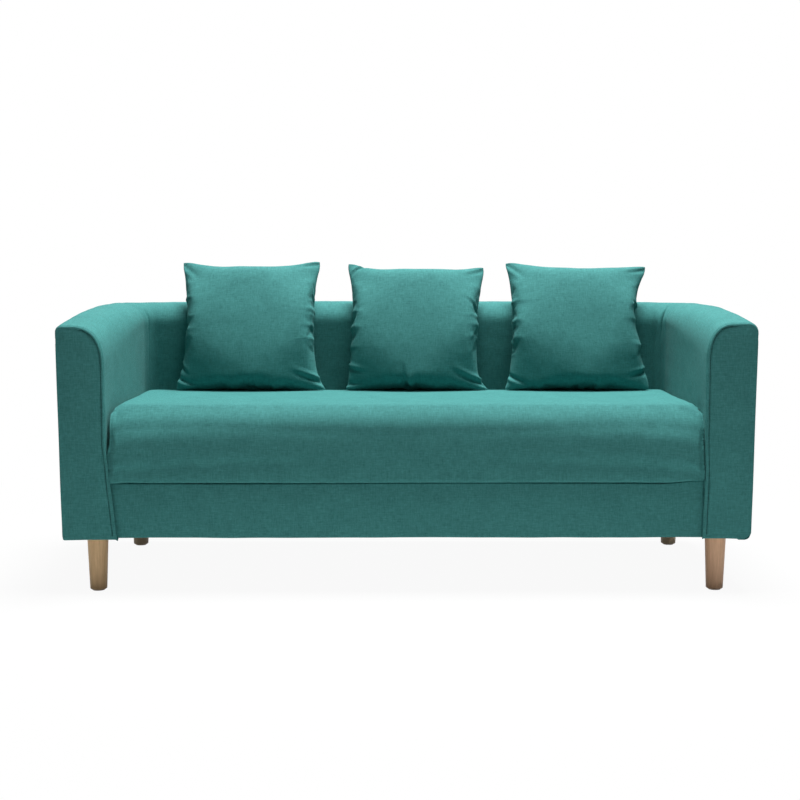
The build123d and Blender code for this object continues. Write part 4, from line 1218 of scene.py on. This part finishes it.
CLOTHS = {                   # dark and light tone, roughness, threads per metre, slubs
    "black_webbing": ((0.010, 0.010, 0.011), (0.060, 0.060, 0.062), 0.8, 500.0, 0.6),
    "deck_cloth": ((0.010, 0.030, 0.030), (0.035, 0.085, 0.085), 0.9, 700.0, 0.8),
    "teal_zip_tape": ((0.020, 0.12, 0.115), (0.05, 0.24, 0.23), 0.85, 1500.0, 0.4),
}
materials = {"teal_linen": teal_linen()}
materials.update({name: wooden(name, *values) for name, values in WOODS.items()})
materials.update({name: speckled(name, *values) for name, values in SPECKLES.items()})
materials.update({name: woven(name, *values)[0] for name, values in CLOTHS.items()})
CARRIED_OVER = {             # solids shown as they are, and what they are made of
    "leg_beech": ["front_left_leg"],
    "pink_leg_beech": ["front_right_leg"],
    # the rear legs take the paler beech copy, painted light standing in for the shade under the sofa
    "painted_light_rear_leg_beech": ["rear_left_leg", "rear_right_leg"],
    "frame_pine": ["front_rail", "rear_rail", "back_top_rail", "leg_blocks"],
    "side_pine": [
        "left_side_rail", "right_side_rail", "left_arm_top_rail", "right_arm_top_rail",
        "seat_cross_bearers",
    ],
    "post_pine": [
        "left_rear_post", "right_rear_post", "left_arm_middle_post", "right_arm_middle_post",
        "back_posts",
    ],
    "birch_plywood": ["left_arm_front_board", "right_arm_front_board"],
    "hardboard": [
        "inside_back_panel", "outside_back_panel", "left_inside_arm_panel", "right_inside_arm_panel",
        "left_outside_arm_panel", "right_outside_arm_panel",
    ],
    "cream_foam": ["seat_deck_pad"],
    "black_webbing": ["seat_webbing", "cross_webbing"],
    "deck_cloth": ["seat_deck_cloth"],
    "black_dust_cloth": ["dust_cover"],
    "zinc_steel": ["frame_screws", "leg_hanger_bolts", "leg_tee_nuts"],
    "teal_zip_tape": ["seat_cushion_zip"],
    "zip_nickel": ["seat_cushion_zip_slider"],
    "pale_glide": ["leg_glides"],
}
for material_name, names in CARRIED_OVER.items():
    for cad_name in names:
        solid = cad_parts[cad_name]
        solid.data.materials.clear()
        solid.data.materials.append(materials[material_name])


# ---- Seam stitches --------------------------------------------------------------------------------
STITCH = {"Pitch": 0.0040, "Length": 0.0034, "Thickness": 0.0013}


def stitch_tree():
    """Stitches laid end to end along a line, each a small rounded bar turned along it."""
    tree = bpy.data.node_groups.new("stitches_along_seam", "GeometryNodeTree")
    tree.interface.new_socket("Seam", in_out="INPUT", socket_type="NodeSocketGeometry")
    for name, value in STITCH.items():
        socket = tree.interface.new_socket(name, in_out="INPUT", socket_type="NodeSocketFloat")
        socket.default_value = value
    tree.interface.new_socket("Thread", in_out="INPUT", socket_type="NodeSocketMaterial")
    tree.interface.new_socket("Stitches", in_out="OUTPUT", socket_type="NodeSocketGeometry")
    entry = node(tree, "NodeGroupInput")
    leave = node(tree, "NodeGroupOutput")
    link = tree.links.new
    curve = node(tree, "GeometryNodeMeshToCurve")
    link(entry.outputs["Seam"], curve.inputs[0])
    spaced = node(tree, "GeometryNodeCurveToPoints", mode="LENGTH")
    link(curve.outputs[0], spaced.inputs["Curve"])
    link(entry.outputs["Pitch"], spaced.inputs["Length"])
    ball = node(tree, "GeometryNodeMeshUVSphere")
    for socket, value in (("Segments", 6), ("Rings", 4), ("Radius", 0.5)):
        ball.inputs[socket].default_value = value
    turn = node(tree, "FunctionNodeAlignRotationToVector", axis="Z")
    link(spaced.outputs["Tangent"], turn.inputs["Vector"])
    size = node(tree, "ShaderNodeCombineXYZ")
    for axis, name in enumerate(("Thickness", "Thickness", "Length")):
        link(entry.outputs[name], size.inputs[axis])
    placed = node(tree, "GeometryNodeInstanceOnPoints")
    link(spaced.outputs["Points"], placed.inputs["Points"])
    link(ball.outputs["Mesh"], placed.inputs["Instance"])
    link(turn.outputs[0], placed.inputs["Rotation"])
    link(size.outputs[0], placed.inputs["Scale"])
    real = node(tree, "GeometryNodeRealizeInstances")
    link(placed.outputs[0], real.inputs[0])
    painted = node(tree, "GeometryNodeSetMaterial")
    link(real.outputs[0], painted.inputs["Geometry"])
    link(entry.outputs["Thread"], painted.inputs["Material"])
    link(painted.outputs[0], leave.inputs["Stitches"])
    return tree


stitches = stitch_tree()


def stitched_line(name, path):
    """Row of stitches along a path, as its own piece."""
    mesh = bpy.data.meshes.new(name)
    mesh.from_pydata([tuple(p) for p in path], [(i, i + 1) for i in range(len(path) - 1)], [])
    piece = bpy.data.objects.new(name, mesh)
    bpy.context.scene.collection.objects.link(piece)
    made = piece.modifiers.new("stitches", "NODES")
    made.node_group = stitches
    values = dict(STITCH, Thread=materials["seam_thread"])
    for item in stitches.interface.items_tree:
        if item.in_out == "INPUT" and item.name in values:
            made[item.identifier] = values[item.name]
    apply_modifiers(piece)
    piece.data.materials.clear()
    piece.data.materials.append(materials["seam_thread"])
    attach(piece, "sofa")
    return piece


def fabric_piece(piece, body, *nodes):
    """Cover a piece in the sofa's cloth. It stands for the nodes and moves with the body."""
    piece.data.materials.clear()
    piece.data.materials.append(materials["teal_linen"])
    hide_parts(*nodes)
    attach(piece, body)
    return piece


# ---- Covers of the arms and the back --------------------------------------------------------------
INSIDES = {                  # where each panel starts and ends along the wall, and what it stands for
    "inside_back": (-MITRE_RUN, MITRE_RUN, "inside_back_cover", "back_foam"),
    "inside_arm_right": (MITRE_RUN, HALF_RUN, "right_inside_arm_cover", "right_arm_foam"),
    "inside_arm_left": (-HALF_RUN, -MITRE_RUN, "left_inside_arm_cover", "left_arm_foam"),
}
for name, (run_start, run_end, *solids) in INSIDES.items():
    panel = cover_panel(name, run_start, run_end, INSIDE)
    fabric_piece(panel, "sofa", *solids)
OUTSIDES = {
    "outside_back": (-SIDE_SEAM_RUN, SIDE_SEAM_RUN, OUTSIDE, "outside_back_cover"),
    "outside_arm_right": (SIDE_SEAM_RUN, HALF_RUN, OUTSIDE_RIGHT, "right_outside_arm_cover"),
    "outside_arm_left": (-HALF_RUN, -SIDE_SEAM_RUN, OUTSIDE, "left_outside_arm_cover"),
}
for name, (run_start, run_end, settings, cad_name) in OUTSIDES.items():
    panel = fabric_piece(cover_panel(name, run_start, run_end, settings), "sofa", cad_name)
for side in ("right", "left"):
    facing, path = arm_front("arm_front_" + side, FACING[side], ARMS[side])
    fabric_piece(facing, "sofa", side + "_arm_front_cover")
    stitched_line("arm_front_stitches_" + side, path)
fabric_piece(front_border(), "sofa", "front_border_cover", "front_border_foam")
cushion_nodes = ("seat_cushion_cover", "seat_cushion_wrap", "seat_cushion_foam")
fabric_piece(seat_cushion(), "seat_cushion", *cushion_nodes)
for name, settings in PILLOWS.items():
    pillow = scatter_pillow(name, settings)
    fabric_piece(pillow, name + "_pillow", name + "_pillow_cover", name + "_pillow_filling")

# ---- Camera, floor and light ----------------------------------------------------------------------
camera_data = bpy.data.cameras.new("camera")
camera_data.lens = 61.7
camera_data.sensor_width = 36.0
camera = bpy.data.objects.new("camera", camera_data)
camera.location = (-0.036, -3.865, 0.8208)
camera.rotation_euler = (math.pi / 2 - 0.0896, 0.0, -0.005)
bpy.context.scene.collection.objects.link(camera)
bpy.context.scene.camera = camera


def seen_as_white(tree):
    """1 for the rays of the camera, of mirrors and of glass, 0 for the light that falls on the sofa."""
    path = node(tree, "ShaderNodeLightPath")
    mirrored = calculated(tree, "MAXIMUM", path.outputs["Is Camera Ray"], path.outputs["Is Glossy Ray"])
    return calculated(tree, "MAXIMUM", mirrored, path.outputs["Is Transmission Ray"])


def floor_material():
    """Pale floor that keeps the sofa's shadow near it and runs out to plain white."""
    material, tree, shader = new_material("floor", 1.0)
    shader.inputs["Base Color"].default_value = (0.75, 0.75, 0.75, 1.0)
    shader.inputs["Specular IOR Level"].default_value = 0.0
    white = node(tree, "ShaderNodeEmission")
    white.inputs["Strength"].default_value = 1.0
    place = node(tree, "ShaderNodeTexCoord").outputs["Object"]
    distance = node(tree, "ShaderNodeVectorMath", operation="LENGTH")
    tree.links.new(place, distance.inputs[0])
    fade = node(tree, "ShaderNodeMapRange", interpolation_type="SMOOTHSTEP")
    tree.links.new(distance.outputs["Value"], fade.inputs["Value"])
    for socket, value in (("From Min", 1.0), ("From Max", 2.2), ("To Min", 0.94), ("To Max", 1.0)):
        fade.inputs[socket].default_value = value
    share = calculated(tree, "MULTIPLY", seen_as_white(tree), fade.outputs[0])
    mix = node(tree, "ShaderNodeMixShader")
    tree.links.new(share, mix.inputs[0])
    tree.links.new(shader.outputs[0], mix.inputs[1])
    tree.links.new(white.outputs[0], mix.inputs[2])
    tree.links.new(mix.outputs[0], tree.nodes["Material Output"].inputs["Surface"])
    return material


floor = new_mesh_object("floor", [(-20, -20, 0), (20, -20, 0), (20, 20, 0), (-20, 20, 0)], [(0, 1, 2, 3)])
floor.data.materials.append(floor_material())

world = bpy.data.worlds.new("studio")
world.use_nodes = True
sky = world.node_tree
plain = sky.nodes["Background"]
seen_white = node(sky, "ShaderNodeBackground")
for background, strength in ((plain, 0.02), (seen_white, 1.0)):
    background.inputs["Color"].default_value = (1.0, 1.0, 1.0, 1.0)
    background.inputs["Strength"].default_value = strength
sky_mix = node(sky, "ShaderNodeMixShader")
sky.links.new(seen_as_white(sky), sky_mix.inputs[0])
sky.links.new(plain.outputs[0], sky_mix.inputs[1])
sky.links.new(seen_white.outputs[0], sky_mix.inputs[2])
sky.links.new(sky_mix.outputs[0], sky.nodes["World Output"].inputs["Surface"])
bpy.context.scene.world = world


def soft_lamp(name, place, aim, size, power):
    """Area lamp at a place, turned towards aim."""
    data = bpy.data.lights.new(name, "AREA")
    data.shape = "RECTANGLE"
    data.size, data.size_y = size
    data.energy = power
    lamp = bpy.data.objects.new(name, data)
    lamp.location = place
    lamp.rotation_euler = (Vector(aim) - Vector(place)).to_track_quat("-Z", "Y").to_euler()
    bpy.context.scene.collection.objects.link(lamp)


soft_lamp("overhead_softbox", (0.36, 0.13, 5.0), (0.0, 0.0, 0.3), (1.9, 1.8), 425.0)
bpy.context.scene.view_settings.view_transform = "Standard"
